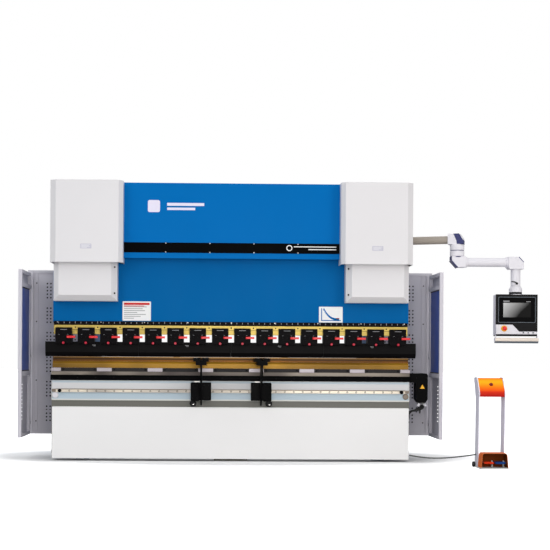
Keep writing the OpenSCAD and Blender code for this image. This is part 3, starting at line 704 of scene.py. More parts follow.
def clamp_details():
    """Face plates, screws with painted glints on their heads, marks and release knobs of the sixteen clamps.
    """
    low, high = edges("clamp_bodies")[2]
    lever_z = (first_lever[2][0] + first_lever[2][1]) / 2
    shape = Shape()
    for x in clamp_places:
        shape.ink = 0
        shape.box((x - 70, x + 70), (clamp_face - 2, clamp_face + 1), (lever_z + 34, high - 8))
        shape.box((x - 52, x + 52), (clamp_face - 1.5, clamp_face + 1), (low + 26, low + 44))
        for dx in (-38, 38):
            shape.screw("y", (x + dx, lever_z + 21), clamp_face + 0.5, -6, 8.6)
        shape.screw("y", (x - 38, lever_z), clamp_face + 0.5, -4, 6.5)
        # grey dashes on the two upper screw heads: painted glints
        shape.ink = 1
        for dx in (-38, 38):
            shape.box(
                (x + dx - 6, x + dx + 6), (clamp_face - 6.6, clamp_face - 5.6),
                (lever_z + 20, lever_z + 22.5)
            )
        shape.box((x - 30, x + 30), (clamp_face - 2.6, clamp_face - 1.9), (high - 22, high - 18))
    piece("clamp_faces", "ram", shape, [black_oxide, mark_grey], 0.6)

    shape = Shape()
    z = (button_z[0] + button_z[1]) / 2
    front = button_y[0]
    profile = [(-58, 6), (-86, 6), (-86, 9), (-88, 11), (front + 3, 11), (front, 8.5)]
    for x in clamp_places:
        shape.turned("y", (x, z), profile, 28)
    knobs = piece("clamp_knobs", "clamp_buttons", shape, [crimson], 0.0)
    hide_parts("clamp_buttons")


def adapter_details():
    """Graduated strip above the adapter, its blocks' bolts and joint lines."""
    half = adapter_x[1]
    shape = Shape()
    strip = (ram_z[0] - 14, ram_z[0] + 8)
    shape.box((-half, half), (adapter_y[0] - 3, ram_front + 0.5), strip)
    shape.box((-half, half), (adapter_y[0] - 1, adapter_y[0] + 0.5), (strip[0] - 14, strip[0]))
    shape.ink = 1
    for k in range(65):
        x = -1600 + 50 * k
        if abs(x) < half - 2:
            tall = 19 if k % 4 == 0 else 14
            shape.box(
                (x - 2.5, x + 2.5), (adapter_y[0] - 3.6, adapter_y[0] - 2.9),
                (strip[0] + 1, strip[0] + 1 + tall)
            )
    shape.ink = 2
    for k in range(9):
        x = (k - 4) * 390
        shape.turned("y", (x, strip[1] - 9), [(adapter_y[0] - 2.9, 5), (adapter_y[0] - 6, 4)], 14)
    piece("graduated_strip", "ram", shape, [black_oxide, mark_grey, bright_steel], 0.0)

    shape = Shape()
    for k in range(CLAMPS - 1):
        x = (clamp_places[k] + clamp_places[k + 1]) / 2
        shape.ink = 0
        shape.screw("y", (x, adapter_z[0] + 62), adapter_y[0] + 7, -5, 6.5)
        shape.ink = 1
        shape.box((x - 26, x + 26), (-29.5, -27.5), (adapter_z[0] + 40, adapter_z[0] + 43))
        shape.box((x - 26, x + 26), (-29.5, -27.5), (adapter_z[0] + 82, adapter_z[0] + 84))
        shape.ink = 2
        shape.box((x - 24, x + 24), (-32, -27.5), (adapter_z[0] + 4, adapter_z[0] + 34))
    piece("adapter_wedges", "ram", shape, [black_oxide, cast_iron, yellow_zinc], 0.8)


def punch_marks():
    """Small engraved plates in the middle of each punch section."""
    x, y, z = edges("punch")
    length = (x[1] - x[0]) / 4
    shape = Shape()
    for k in range(4):
        middle = x[0] + length * (k + 0.5) + 20
        shape.box((middle - 16, middle + 16), (y[0] - 0.5, y[0] + 0.4), (z[1] - 62, z[1] - 56))
        shape.box((middle - 8, middle + 14), (y[0] - 0.5, y[0] + 0.4), (z[1] - 70, z[1] - 67))
    piece("punch_marks", "ram", shape, [mark_grey], 0.0)


def crowning():
    """Crowning table: gloss base, ground band with painted reflections, dark holder with light wedge blocks.
    """
    x, y, z = edges("crowning_table")
    half = x[1]
    base, band = z[0] + 47, z[0] + 78
    shape = Shape()
    shape.box((-half, half), (y[0], y[1]), (z[0], base))
    shape.ink = 1
    shape.box((-half, half), (-60, y[1]), (base - 0.5, band))
    shape.ink = 2
    shape.box((-half + 10, half - 10), (-55, y[1]), (band - 0.5, z[1]))
    pitch = 454
    places = [side * (pitch / 2 + pitch * k) for side in (-1, 1) for k in range(4)]
    for place in places:
        shape.ink = 3
        ends = (max(place - 66, -half), min(place + 66, half))
        shape.box(ends, (-72, -54), (band + 1, z[1] - 1))
        for dx in (-88, 88):
            if abs(place + dx) < half - 20:
                shape.ink = 4
                shape.screw("y", (place + dx, (band + z[1]) / 2), -54.5, -7, 8)
    shape.ink = 4
    for k in range(20):
        shape.screw("y", (-half + 80 + k * (2 * half - 160) / 19, z[0] + 23), y[0] + 0.5, -3, 7)
    materials = [black_gloss, band_steel_painted_sheen, cast_iron, block_grey, black_oxide]
    obj = piece("crowning_wedges", "machine", shape, materials, 0.8)
    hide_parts("crowning_table")


# ---- bed front ----


def bed_details():
    """Support rail with its screws, stops and end clips, the strip behind it, and the apron's screws."""
    x, y, z = edges("support_rail")
    middle = (z[0] + z[1]) / 2
    face = bed_y[0] - 23
    half = x[1]
    shape = Shape()
    shape.prism(rect((-half, half), (z[0], z[1] - 7)), "y", (face, bed_y[0]))
    shape.ink = 1
    shape.prism(rect((-half, half), (z[1] - 7.2, z[1])), "y", (face + 1.5, bed_y[0]))
    for side in (-1, 1):
        shape.box(
            sorted((side * (half - 16), side * (half + 34))), (face + 3, face + 22), (z[0] + 2, z[1] - 2)
        )
    shape.ink = 2
    pitch = 80
    for k in range(-18, 19):
        dimple = [(face + 0.3, 8), (face - 0.8, 7.6), (face - 0.8, 5), (face + 2, 4.5)]
        shape.turned("y", (pitch * k, middle - 3), dimple, 14)
    for side in (-1, 1):
        shape.turned("y", (side * 1525, middle - 2), [(face + 1, 16), (y[0] - 1, 16), (y[0] - 3, 13)], 28)
    shape.ink = 3
    shape.turned("y", (-1566, middle - 42), [(bed_y[0] + 1, 28), (bed_y[0] - 8, 28), (bed_y[0] - 12, 24)], 32)
    shape.ink = 1
    shape.turned("y", (1566, middle - 42), [(bed_y[0] + 1, 26), (bed_y[0] - 8, 26), (bed_y[0] - 12, 22)], 32)
    materials = [rail_steel_painted_sheen, rail_edge, black_oxide, pendant_white]
    rail = piece("support_rail_bar", "machine", shape, materials, 0.7)
    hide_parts("support_rail")

    shape = Shape()
    for side in (-1, 1):
        shape.box((side * 1597 - 3, side * 1597 + 3), (bed_y[0] - 3, bed_y[0] + 20), (540, bed_z[1] - 4))
    shape.box((-1594, 1594), (bed_y[0] - 2.5, bed_y[0] + 2), (bed_z[1] - 5, bed_z[1] - 0.5))
    piece("bed_edges", "machine", shape, [grey_paint], 0.8)

    ax, ay, az = edges("front_apron")
    shape = Shape()
    for place in (-1200, -400, 400, 1200):
        shape.screw("z", (place, (ay[0] + ay[1]) / 2), az[1] - 0.3, 3, 7)
    shape.ink = 1
    for side in (-1, 1):
        for place in (80, 240, 400):
            shape.screw("x", ((ay[0] + ay[1]) / 2, place), side * (ax[1] - 0.3), side * 3, 6)
    piece("apron_screws", "machine", shape, [bright_steel, bright_steel], 0.0)


def drive_box_details():
    """Yellow plate, screws and cable glands of the crowning drive."""
    x, y, z = edges("crowning_drive_box")
    front = y[0]
    shape = Shape()
    cx, cz = x[0] + 112, z[0] + 173
    outline = [(cx - 21, cz - 17), (cx + 21, cz - 17), (cx, cz + 20)]
    shape.prism(outline, "y", (front - 0.9, front + 0.2))
    shape.ink = 1
    for a in (x[0] + 60, x[1] - 12):
        for b in (z[1] - 40, z[0] + 90):
            shape.screw("y", (a, b), front + 0.3, -4, 6)
    piece("drive_box_plate", "machine", shape, [yellow_plastic, black_oxide], 0.3)

    shape = Shape()
    for place in (90, 132):
        c = (x[0] + place, 0)
        low = z[0]
        shape.rod("z", c, (low + 18, low + 30), 14, 6)
        shape.turned("z", c, [(low + 19, 12), (low + 8, 11.5), (low - 4, 8)], 24)
    shape.ink = 1
    for place in (90, 132):
        verts = shape.turned("z", (0, 0), [(-26, 9), (-22, 11.5), (-2, 12), (0, 10)], 20)
        lean = Matrix.Rotation(math.radians(38 if place == 90 else -38), 4, "Y")
        shape.move(verts, Matrix.Translation((x[0] + place, -56, z[0] + 18)) @ lean)
    piece("cable_glands", "machine", shape, [bright_steel, pendant_white], 0.0)


def support_details(side, body):
    """Head strip, lock knob, carriage halves and plate of a front support."""
    x, y, z = edges("support_arm_" + ("right" if side > 0 else "left"))
    mid = (x[0] + x[1]) / 2
    shape = Shape()
    # two halves of the carriage, the outer one taller and rounded
    outer = (mid + side * 12, mid + side * 90)
    outer = (min(outer), max(outer))
    shape.prism(round_rect(outer, (536, 703), 12), "y", (-171, -160))
    inner = (mid - side * 90, mid - side * 12)
    inner = (min(inner), max(inner))
    shape.prism(round_rect(inner, (548, 703), 4), "y", (-169, -160))
    shape.ink = 1
    knob_x = mid + side * 70
    ridges = []
    for k in range(48):
        t = 2 * math.pi * k / 48
        r = 29 if k % 4 < 2 else 26.5
        ridges.append((knob_x + r * math.cos(t), 514 + r * math.sin(t)))
    shape.prism(ridges, "y", (-154, -129))
    shape.turned("y", (knob_x, 514), [(-153.5, 24), (-157, 22), (-157, 9), (-154.5, 8)], 28)
    shape.ink = 2
    shape.prism([(knob_x - 10, 506), (knob_x + 8, 503), (knob_x + 12, 511)], "y", (-158, -156.8))
    shape.box((mid - 60, mid - 8), (-170, -160), (705, 711))
    # wear strips on the head
    for dx in (-44, 44):
        shape.box((mid + dx - 14, mid + dx + 14), (y[0] + 8, -60), (z[1] - 0.6, z[1] + 0.8))
    shape.ink = 0
    for place in (y[0] + 40, y[0] + 190, y[0] + 340):
        for dx in (-44, 44):
            shape.turned("z", (mid + dx, place), [(z[1] + 0.5, 5), (z[1] + 1.2, 4.4)], 14)
    for dz in (565, 680):
        for dx in (-70, -30, 30, 70):
            shape.screw("y", (mid + dx, dz), -168, -5, 5.5)
    name = "support_fittings_" + ("right" if side > 0 else "left")
    piece(name, body, shape, [black_paint, pendant_black, bright_steel], 0.6)


# ---- side guards ----


def perforated_panel(name, x, z, y, thick, material, holes, r):
    """A sheet with round holes, cut as a filled curve."""
    curve = bpy.data.curves.new(name, "CURVE")
    curve.dimensions = "2D"
    curve.fill_mode = "BOTH"
    curve.extrude = thick / 2 * MM

    def outline(points):
        spline = curve.splines.new("POLY")
        spline.points.add(len(points) - 1)
        for point, (a, b) in zip(spline.points, points):
            point.co = (a * MM, b * MM, 0, 1)
        spline.use_cyclic_u = True

    outline(rect(x, z))
    for centre in holes:
        outline(circle(centre, r, 12))
    maker = bpy.data.objects.new(name + "_curve", curve)
    bpy.context.scene.collection.objects.link(maker)
    bpy.context.view_layer.update()
    evaluated = maker.evaluated_get(bpy.context.evaluated_depsgraph_get())
    mesh = bpy.data.meshes.new_from_object(evaluated)
    bpy.data.objects.remove(maker)
    mesh.transform(Matrix.Translation((0, y * MM, 0)) @ Matrix.Rotation(math.pi / 2, 4, "X"))
    mesh.materials.clear()
    mesh.materials.append(material)
    mesh.name = name
    obj = bpy.data.objects.new(name, mesh)
    bpy.context.scene.collection.objects.link(obj)
    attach(obj, "machine")
    return obj


def guards():
    """Perforated rear panels, their folded edges, posts and hinges."""
    x, z = edges("guard_panels")[::2]
    inner = -edges("welded_frame")[0][0] - 75
    post = x[1] - 50
    pitch, group = 33, 230
    holes = []
    for top in range(6):
        for column in (0, 1):
            for row in range(5):
                for k in range(5):
                    a = 1721 - group * column - pitch * k
                    b = z[1] - 124 - group * top - pitch * row
                    if a > inner + 12 and b > z[0] + 40:
                        holes.append((a, b))
    for side, label in ((-1, "left"), (1, "right")):
        ends = sorted((side * inner, side * post))
        cut = [(side * a, b) for a, b in holes]
        sheet = perforated_panel("guard_sheet_" + label, ends, z, 451.5, 3, guard_grey, cut, 7.8)
        if side < 0:
            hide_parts("guard_panels")
    shape = Shape()
    for low, high in ((z[0], z[0] + 25), (z[1] - 25, z[1])):
        shape.box((inner, post + 2), (438, 466), (low, high))
    shape.box((inner, inner + 22), (440, 449), z)
    outline = [(post, 438), (x[1], 438), (x[1], 470), (post, 470)]
    shape.prism(outline, "z", z)
    for a in (post - 46, post - 12):
        shape.box((a, a + 7), (444, 450), (z[0] + 26, z[1] - 26))
    shape.box((inner + 24, post - 50), (446.5, 450), (z[0] + 216, z[0] + 224))
    # dark strips behind the holes, grey at their backs: painted shade seen through the holes
    for a in (1721, 1491):
        ends = (max(a - 4.6 * pitch, inner + 2), a + 0.6 * pitch)
        shape.ink = 2
        shape.box(ends, (453.4, 455), (z[0] + 30, z[1] - 100))
        shape.ink = 0
        shape.box(ends, (454.8, 458), (z[0] + 30, z[1] - 100))
    shape.ink = 1
    for height in (333, 957, 1597):
        middle = x[1] - 20
        shape.turned(
            "z", (middle, 415),
            [(height - 41, 11), (height - 39, 13.5), (height - 17, 13.5), (height - 16, 12)], 24
        )
        shape.rod("z", (middle, 415), (height - 17, height + 16), 6, 16)
        shape.box((middle - 6, middle + 6), (415, 442), (height - 40, height - 16))
        for dz in (-34, -22):
            shape.screw("y", (middle + 12, height + dz), 438.5, -3, 4)
    shape.ink = 2
    for height in (z[0] + 120, 700, 1250, z[1] - 120):
        shape.screw("y", (post - 30, height), 450, -5, 6)
        shape.screw("y", (inner + 10, height), 441, -5, 6)
    shape.mirror()
    piece("guard_folds", "machine", shape, [guard_grey, cast_iron, black_oxide], 0.8)


def door_details(side, body, label):
    """Window gasket, stiffeners, handle and front flange of a guard door."""
    y, z = edges("door_" + label)[1:]
    wx, wy, wz = edges("door_window_" + label)
    mid = (wx[0] + wx[1]) / 2
    half = 15
    shape = Shape()
    # light flange down the front edge
    shape.prism(round_rect((mid - half - 1.5, mid + half + 1.5), (y[0] - 1, y[0] + 9), 2), "z", (z[0], z[1]))
    shape.box((mid - half - 1, mid + half + 1), (y[0] + 6, y[1] - 42), (wz[0] - 42, wz[0] - 20))
    shape.ink = 1
    grow = 10
    outer = round_rect((wy[0] - 2, wy[1] + 20), (wz[0] - 2, wz[1] + 2), 14)
    inner = round_rect((wy[0] + grow, wy[1] + 20 - grow), (wz[0] + grow, wz[1] - grow), 10)
    for a in (-6.5, 4):
        shape.frame(outer, inner, "x", (mid + a, mid + a + 2.5))
    shape.ink = 2
    out = mid + side * half
    for height in (z[0] + 60, (z[0] + wz[0]) / 2, wz[0] - 30, wz[1] + 25, z[1] - 20):
        for place in (y[0] + 18, y[1] - 60):
            shape.screw("x", (place, height), out - side * 0.5, side * 3, 5)
    names = [guard_grey, cable_black, bright_steel]
    piece("door_fittings_" + label, body, shape, names, 0.5)


# ---- control arm and pendant ----

root_x, root_y = 1480, 160
upper_z = edges("arm_upper")[2][1] - 52


def oriented(shape, verts, place, yaw):
    """Turns points of a shape about the vertical, then moves them to a place."""
    turn = Matrix.Rotation(yaw, 4, "Z")
    shape.move(verts, Matrix.Translation(place) @ turn)


def arm():
    """Both tubes of the control arm with their cast elbows, collars and trims."""
    ux, uy = edges("arm_upper")[:2]
    lx, lz = edges("arm_lower")[::2]
    elbow = (ux[1] - 64, uy[0] + 64)
    tip_x = lx[1] - 62
    low_z = upper_z - 202
    reach = math.hypot(elbow[0] - root_x, elbow[1] - root_y)
    yaw = math.atan2(elbow[1] - root_y, elbow[0] - root_x)
    r = 40

    shape = Shape()
    # the upper tube takes the darker beige: painted shade
    shape.ink = 1
    verts = shape.rod("x", (0, 0), (0, reach), r - 4, 48)
    shape.ink = 0
    for start in (50, reach - 78):
        verts += shape.turned(
            "x", (0, 0), [(start, 42), (start + 3, 43), (start + 20, 43), (start + 23, 42)], 48
        )
    oriented(shape, verts, (root_x, root_y, upper_z), yaw)
    profile = [(upper_z - 54, 50), (upper_z - 50, 54), (upper_z + 40, 54), (upper_z + 50, 46)]
    shape.turned("z", (root_x, root_y), profile, 48)
    # cast elbow, cut off at a slope over its outer end
    outline = [
        (-78, -44), (50, -44), *arc((42, -28), 16, -90, 0, 4), (58, 6), (30, 50),
        *arc((20, 40), 12, 70, 90, 2), (-78, 52)
    ]
    verts = shape.prism(outline, "y", (-52, 52))
    oriented(shape, verts, (elbow[0], elbow[1], upper_z), yaw)
    ring = [
        (upper_z - 96, 62), (upper_z - 93, 64), (upper_z - 50, 64), (upper_z - 46, 60), (upper_z - 42, 56)
    ]
    shape.turned("z", elbow, ring, 56)
    obj = piece("arm_upper_casting", "arm_upper", shape, [arm_white, arm_tube_painted_shade], 5.0)
    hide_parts("arm_upper")

    # dark cap over the elbow's outer end
    shape = Shape()
    cap = [(-30, 52), (24, 53), (60, -8), (59, -42), (4, -42), (0, -10), (-24, 46)]
    verts = shape.prism(cap, "y", (-53.5, 53.5))
    oriented(shape, verts, (elbow[0], elbow[1], upper_z), yaw)
    shape.rod("z", elbow, (upper_z - 100.5, upper_z - 95), 61, 48)
    shape.rod("z", (root_x, root_y), (upper_z - 56.5, upper_z - 53), 47, 40)
    piece("arm_upper_trim", "arm_upper", shape, [navy], 0.8)

    shape = Shape()
    shape.rod("x", (elbow[1], low_z), (elbow[0], tip_x), r, 48)
    for start in (elbow[0] + 66, tip_x - 92):
        collar = [(start, 45), (start + 3, 48), (start + 20, 48), (start + 23, 45)]
        shape.turned("x", (elbow[1], low_z), collar, 48)
    ring = [(low_z + 50, 58), (low_z + 55, 64), (low_z + 98, 64), (low_z + 101, 62)]
    shape.turned("z", elbow, ring, 56)
    x, z = elbow[0], low_z
    outline = [(x - 57, z + 50), (x - 57, z + 14), (x - 2, z - 48), (x + 70, z - 48), (x + 70, z + 50)]
    shape.prism(outline, "y", (elbow[1] - 54, elbow[1] + 54))
    x = tip_x
    outline = [
        (x - 76, z - 46), (x - 62, z - 62), (x + 62, z - 62), (x + 62, z + 4), (x + 20, z + 49),
        (x - 76, z + 49)
    ]
    shape.prism(outline, "y", (elbow[1] - 55, elbow[1] + 55))
    low = lz[0] + 40
    shape.rod("z", (x, elbow[1]), (low, z - 60), 43, 48)
    obj = piece("arm_lower_casting", "arm_lower", shape, [arm_white], 6.0)
    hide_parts("arm_lower")

    shape = Shape()
    x = elbow[0]
    z = low_z
    shape.box((x - 58.5, x - 52), (elbow[1] - 47, elbow[1] + 47), (z + 12, z + 51))
    shape.rod("z", elbow, (z + 43, z + 50.5), 58, 48)
    for start, end in (((x - 58.5, z + 15), (x - 1, z - 49.5)), ((tip_x + 63, z + 3), (tip_x + 20, z + 50))):
        a, b = Vector(start), Vector(end)
        ahead = (b - a).normalized()
        inward = Vector((-ahead[1], ahead[0])) * (7 if start[0] > x else -7)
        shape.prism([tuple(p) for p in (a, b, b + inward, a + inward)], "y", (elbow[1] - 55.5, elbow[1] + 47))
    shape.ink = 1
    # clamping lever on the drop tube
    path = [(tip_x - 50, elbow[1] - 46, low + 36), (tip_x - 28, elbow[1] - 52, low + 33)]
    path += [(tip_x - 8, elbow[1] - 52, low + 28), (tip_x + 2, elbow[1] - 50, low + 12)]
    shape.tube(flow(path, 5), 5)
    shape.rod("y", (tip_x, low + 18), (elbow[1] - 56, elbow[1] - 38), 10, 24)
    shape.ink = 2
    shape.rod("z", (x, elbow[1]), (z + 100, z + 101), 10, 12)
    piece("arm_lower_trim", "arm_lower", shape, [navy, pendant_black, bright_steel], 0.0)


def pendant():
    """Control box: light shell, black glass front, screen, lower panel, handle bar and neck."""
    x, z = edges("pendant_box")[::2]
    ex, ey, ez = edges("pendant_estop")
    mid = (x[0] + x[1]) / 2
    half = 187.5
    high = z[1] - 79
    low = high - 374
    front, back = -95, 15
    base = low + 16
    slope_top, slope_low = low + 102, low + 41

    shape = Shape()
    shape.prism(round_rect((mid - half, mid + half), (low + 3, high), 10), "y", (front + 6, back))
    shape.turned("z", (mid, -40), [(high - 2, 66), (high + 3, 66), (high + 3, 56)], 48)
    # lower panel with its sloping shoulder
    outline = [(mid - half, base), (mid + half, base), (mid + half, slope_low), (mid + 21, slope_low)]
    outline += [(mid - 37, slope_top), (mid - half, slope_top)]
    shape.prism(outline, "y", (front + 0.5, front + 8))
    # swivel flange
    top = z[1]
    flange = [
        (high + 21, 57), (high + 23, 58.5), (high + 54, 58.5), (high + 66, 50), (top - 3, 45), (top, 44)
    ]
    shape.turned("z", (mid, -40), flange, 56)
    shell = piece("pendant_shell", "pendant", shape, [pendant_white], 2.5)
    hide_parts("pendant_box")

    shape = Shape()
    outline = [(mid - half - 0.5, high + 0.5), (mid - half - 0.5, slope_top), (mid - 37, slope_top)]
    outline += [(mid + 21, slope_low), (mid + half + 0.5, slope_low), (mid + half + 0.5, high + 0.5)]
    shape.prism(outline, "y", (front - 0.8, front + 20))
    shape.box((mid - half + 2, mid + half - 2), (front + 1, back - 4), (low - 1, base + 1))
    shape.rod("z", (mid, -40), (high, high + 22), 57.5, 48)
    piece("pendant_bezel", "pendant", shape, [pendant_black], 1.5)

    shape = Shape()
    rim = ((mid - 168, mid + 170), (low + 120, low + 352))
    rim_in = ((rim[0][0] + 5, rim[0][1] - 5), (rim[1][0] + 5, rim[1][1] - 5))
    shape.prism(round_rect(*rim_in, 7), "y", (front - 1.6, front - 0.5))
    shape.ink = 1
    shape.frame(round_rect(*rim, 10), round_rect(*rim_in, 7), "y", (front - 3, front - 0.5))
    shape.ink = 2
    screen = ((mid - 123, mid + 127), (low + 168, low + 298))
    shape.prism(round_rect(*screen, 3), "y", (front - 2.2, front - 1.2))
    shape.ink = 3
    shape.box(
        (screen[0][0], screen[0][0] + 56), (front - 2.0, front - 1.4),
        (screen[1][1] + 10, screen[1][1] + 19)
    )
    shape.box(
        (screen[0][1] - 44, screen[0][1] - 4), (front - 2.0, front - 1.4),
        (screen[1][1] + 8, screen[1][1] + 14)
    )
    fade = gradient(
        "screen_fade",
        rgb(200, 200, 200),
        rgb(8, 8, 9),
        (screen[0][0], 0, screen[1][1]),
        (screen[0][0] + 130, 0, screen[1][0] + 10),
    )
    piece(
        "pendant_screen", "pendant", shape, [screen_glass, motor_grey, fade, mark_grey], 0.3,
    )

    shape = Shape()
    # handle bar: a pale tube over a dark grip strip, hung on two straps
    bar = (x[0] + 1.5, x[1] - 1.5)
    shape.prism(round_rect((-104, -58), (z[0] + 13, z[0] + 49), 15), "x", bar)
    shape.ink = 1
    shape.prism(round_rect((-101, -61), (z[0] + 1, z[0] + 24), 9), "x", (bar[0] + 0.5, bar[1] - 0.5))
    shape.ink = 2
    for a in (bar[0] + 2, bar[1] - 11):
        shape.box((a, a + 9), (-92, -68), (z[0] + 40, low + 4))
    for a in (bar[0] - 1.5, bar[1]):
        shape.prism(round_rect((-103, -59), (z[0] + 8, z[0] + 48), 13), "x", (a, a + 1.5))
    piece("pendant_handle", "pendant", shape, [tube_cream, motor_grey, pendant_white], 1.2)

    stop = ((ex[0] + ex[1]) / 2, (ez[0] + ez[1]) / 2)
    shape = Shape()
    shape.turned(
        "y", stop, [(front + 1, 27.5), (front - 3, 27.5), (front - 4.5, 25.5), (front - 4.5, 15)], 40
    )
    shape.ink = 1
    for k in range(3):
        c = (mid + 60 + 44 * k, low + 30)
        shape.turned("y", c, [(front + 1, 6.5), (front - 4, 6.5), (front - 6, 4.5)], 20)
    shape.ink = 2
    for k in range(10):
        shape.box((mid - 90, mid + 90), (back - 0.4, back + 0.8), (low + 84 + 14 * k, low + 90 + 14 * k))
    for a in (mid - half + 16, mid + half - 16):
        for b in (low + 20, high - 16):
            shape.screw("y", (a, b), back - 0.3, 3, 6)
    finishes = [yellow_plastic, motor_grey, pendant_black]
    piece("pendant_fittings", "pendant", shape, finishes, 0.0)

    shape = Shape()
    tip = ey[0]
    head = [
        (front - 6.5, 12), (tip + 12, 12), (tip + 11, 18), (tip + 8, 19), (tip + 3, 19), (tip + 0.6, 16),
        (tip, 9)
    ]
    shape.turned("y", stop, head, 40)
    button = piece("pendant_stop_head", "pendant_estop", shape, [red_plastic], 0.0)
    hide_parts("pendant_estop")


# ---- foot station ----

station_mid = sum(edges("station_covers")[0]) / 2
head_slope = math.atan2(127, 100)


def station():
    """Side plates, base, curved orange head, pedal hood, rollers and pedals."""
    top = station_high
    mid = station_mid
    shape = Shape()
    outline = [
        (-658, 5), (-542, 5), (-567, 560), (-560, 606), (-502, top - 22),
        *arc((-522, top - 18), 22, 0, 80, 4)
    ]
    outline += [(-600, top + 4), (-612, top - 2), (-696, 648), (-697, 632), (-690, 590)]
    for a in (-114, 106):
        shape.prism(outline, "x", (mid + a, mid + a + 8))
    shape.ink = 1
    shape.box((mid - 118, mid + 118), (-800, -540), (2, 13))
    for a in (-102, -5, 92):
        shape.prism(
            [(-704, 12), (-676, 12), (-678, 58), *arc((-690, 56), 12, 10, 170, 5), (-702, 58)], "x",
            (mid + a, mid + a + 10)
        )
    frame_piece = piece("station_frame", "machine", shape, [station_white, grey_paint], 1.6)
    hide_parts("station_stand")

    shape = Shape()
    for a in (-138, 115):
        tyre = [
            (mid + a, 17), (mid + a + 3, 23), (mid + a + 7, 24), (mid + a + 16, 24), (mid + a + 20, 23),
            (mid + a + 23, 17)
        ]
        shape.turned("x", (-560, 24), tyre, 36)
    shape.ink = 1
    shape.rod("x", (-560, 24), (mid - 116, mid + 116), 5, 16)
    shape.rod("x", (-690, 52), (mid - 102, mid + 102), 5, 16)
    piece("station_wheels", "machine", shape, [cable_black, bright_steel], 0.0)

    # head: a folded sheet that curves from its flat top down to the lip
    shape = Shape()
    slope = [(-542, top - 2), (-578, top - 2), *arc((-578, top - 42), 40, 96, 138, 5)]
    slope += [*arc((-640, 646), 50, 146, 180, 5), (-690, 606)]
    back = [(-624, 606), (-600, 640), (-545, top - 62)]
    shape.prism(slope + back, "x", (mid - 105.5, mid + 105.5))

    # outline of the hood over the pedals, which is open towards the operator
    def hood(t):
        left = [(mid - 115.5 + t, 13), (mid - 106 + t, 122), (mid - 94, 137 - t)]
        return left + [(2 * mid - a, b) for a, b in left[::-1]]

    outer, inner = hood(0), hood(3.5)
    shape.skin([shape.ring(outer + inner[::-1], "y", t) for t in (-800, -673)])
    shape.prism(outer, "y", (-673.5, -670))
    # brown lining inside the open hood: painted shade
    shape.ink = 1
    a, b = hood(3.6), hood(5)
    for k in range(5):
        shape.prism([a[k], a[k + 1], b[k + 1], b[k]], "y", (-797, -676))
    shape.prism(hood(4), "y", (-677, -675))
    covers = piece("station_hoods", "machine", shape, [orange_paint, hood_painted_shade], 1.2)
    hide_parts("station_covers")

    stop = Vector((mid, -640, top - 63.5))
    turn = Matrix.Translation(stop) @ Matrix.Rotation(head_slope, 4, "X")
    shape = Shape()
    verts = shape.turned(
        "z", (0, 0), [(-13, 8), (6, 8), (6, 13), (9, 15.5), (15, 15.5), (18, 13.5), (20, 8)], 32
    )
    shape.move(verts, turn)
    button = piece("station_stop_head", "station_estop", shape, [dark_red], 0.0)
    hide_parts("station_estop")
    shape = Shape()
    verts = shape.turned("z", (0, 0), [(-6, 20), (4, 20), (5.5, 18), (5.5, 11)], 32)
    shape.move(verts, turn)
    piece("station_stop_ring", "machine", shape, [pendant_black], 0.0)

    for label, offset, material, slot in (
        ("down", -48, pedal_red, "pedal_red"), ("up", 48, pedal_blue, "pedal_blue")
    ):
        shape = Shape()
        c = mid + offset
        outline = [
            (-792, 46), (-796, 50), (-795, 62), (-784, 62), (-700, 58),
            *arc((-690, 52), 8.5, 60, -150, 6), (-706, 51), (-786, 51)
        ]
        shape.prism(outline, "x", (c - 40, c + 40))
        for k in range(6):
            shape.box((c - 33, c + 33), (-782 + 12 * k, -777 + 12 * k), (57, 63.5 - 0.5 * k))
        obj = piece("pedal_plate_" + label, "pedal_" + label, shape, [material], 0.9)
        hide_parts("pedal_" + label)


# ---- cables ----


def cables():
    """Cables from the drive box round the bed's end, and the one on the floor to the station."""
    x, z = edges("crowning_drive_box")[::2]
    shape = Shape()
    low = z[0]
    for dx, dy, r in ((132, -12, 8), (90, -8, 8), (112, 10, 9), (124, 22, 7)):
        start = (x[0] + dx, dy, low + 6)
        path = [start, (x[0] + dx - 4, dy, low - 22), (x[0] + dx * 0.6, dy + 4, low - 42)]
        path += [(x[0] + 30, dy + 8, low - 52), (x[0] + 6, dy + 10, low - 78), (x[0] + 4, dy + 12, low - 110)]
        shape.tube(flow(path, 6), r, 14)
    for dx in (70, 100):
        shape.turned("x", (0, low - 38 - (dx - 70) * 0.25), [(x[0] + dx, 25), (x[0] + dx + 6, 25)], 20)
    harness = piece("drive_cables", "machine", shape, [cable_black], 0.0)
    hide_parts("cables")

    start = Vector((bed_x[1] + 2, -120, 60))
    end = Vector((station_mid - 122, -620, 112))
    path = []
    for k in range(9):
        t = k / 8
        sway = 25 * math.sin(2 * math.pi * t)
        path.append(start.lerp(end, t) - Vector((0, sway, 4 * 28 * t * (1 - t))))
    shape = Shape()
    shape.tube(flow(path, 6), 6, 12)
    piece("station_cable", "machine", shape, [cable_grey], 0.0)


# ---- back, top and sides ----


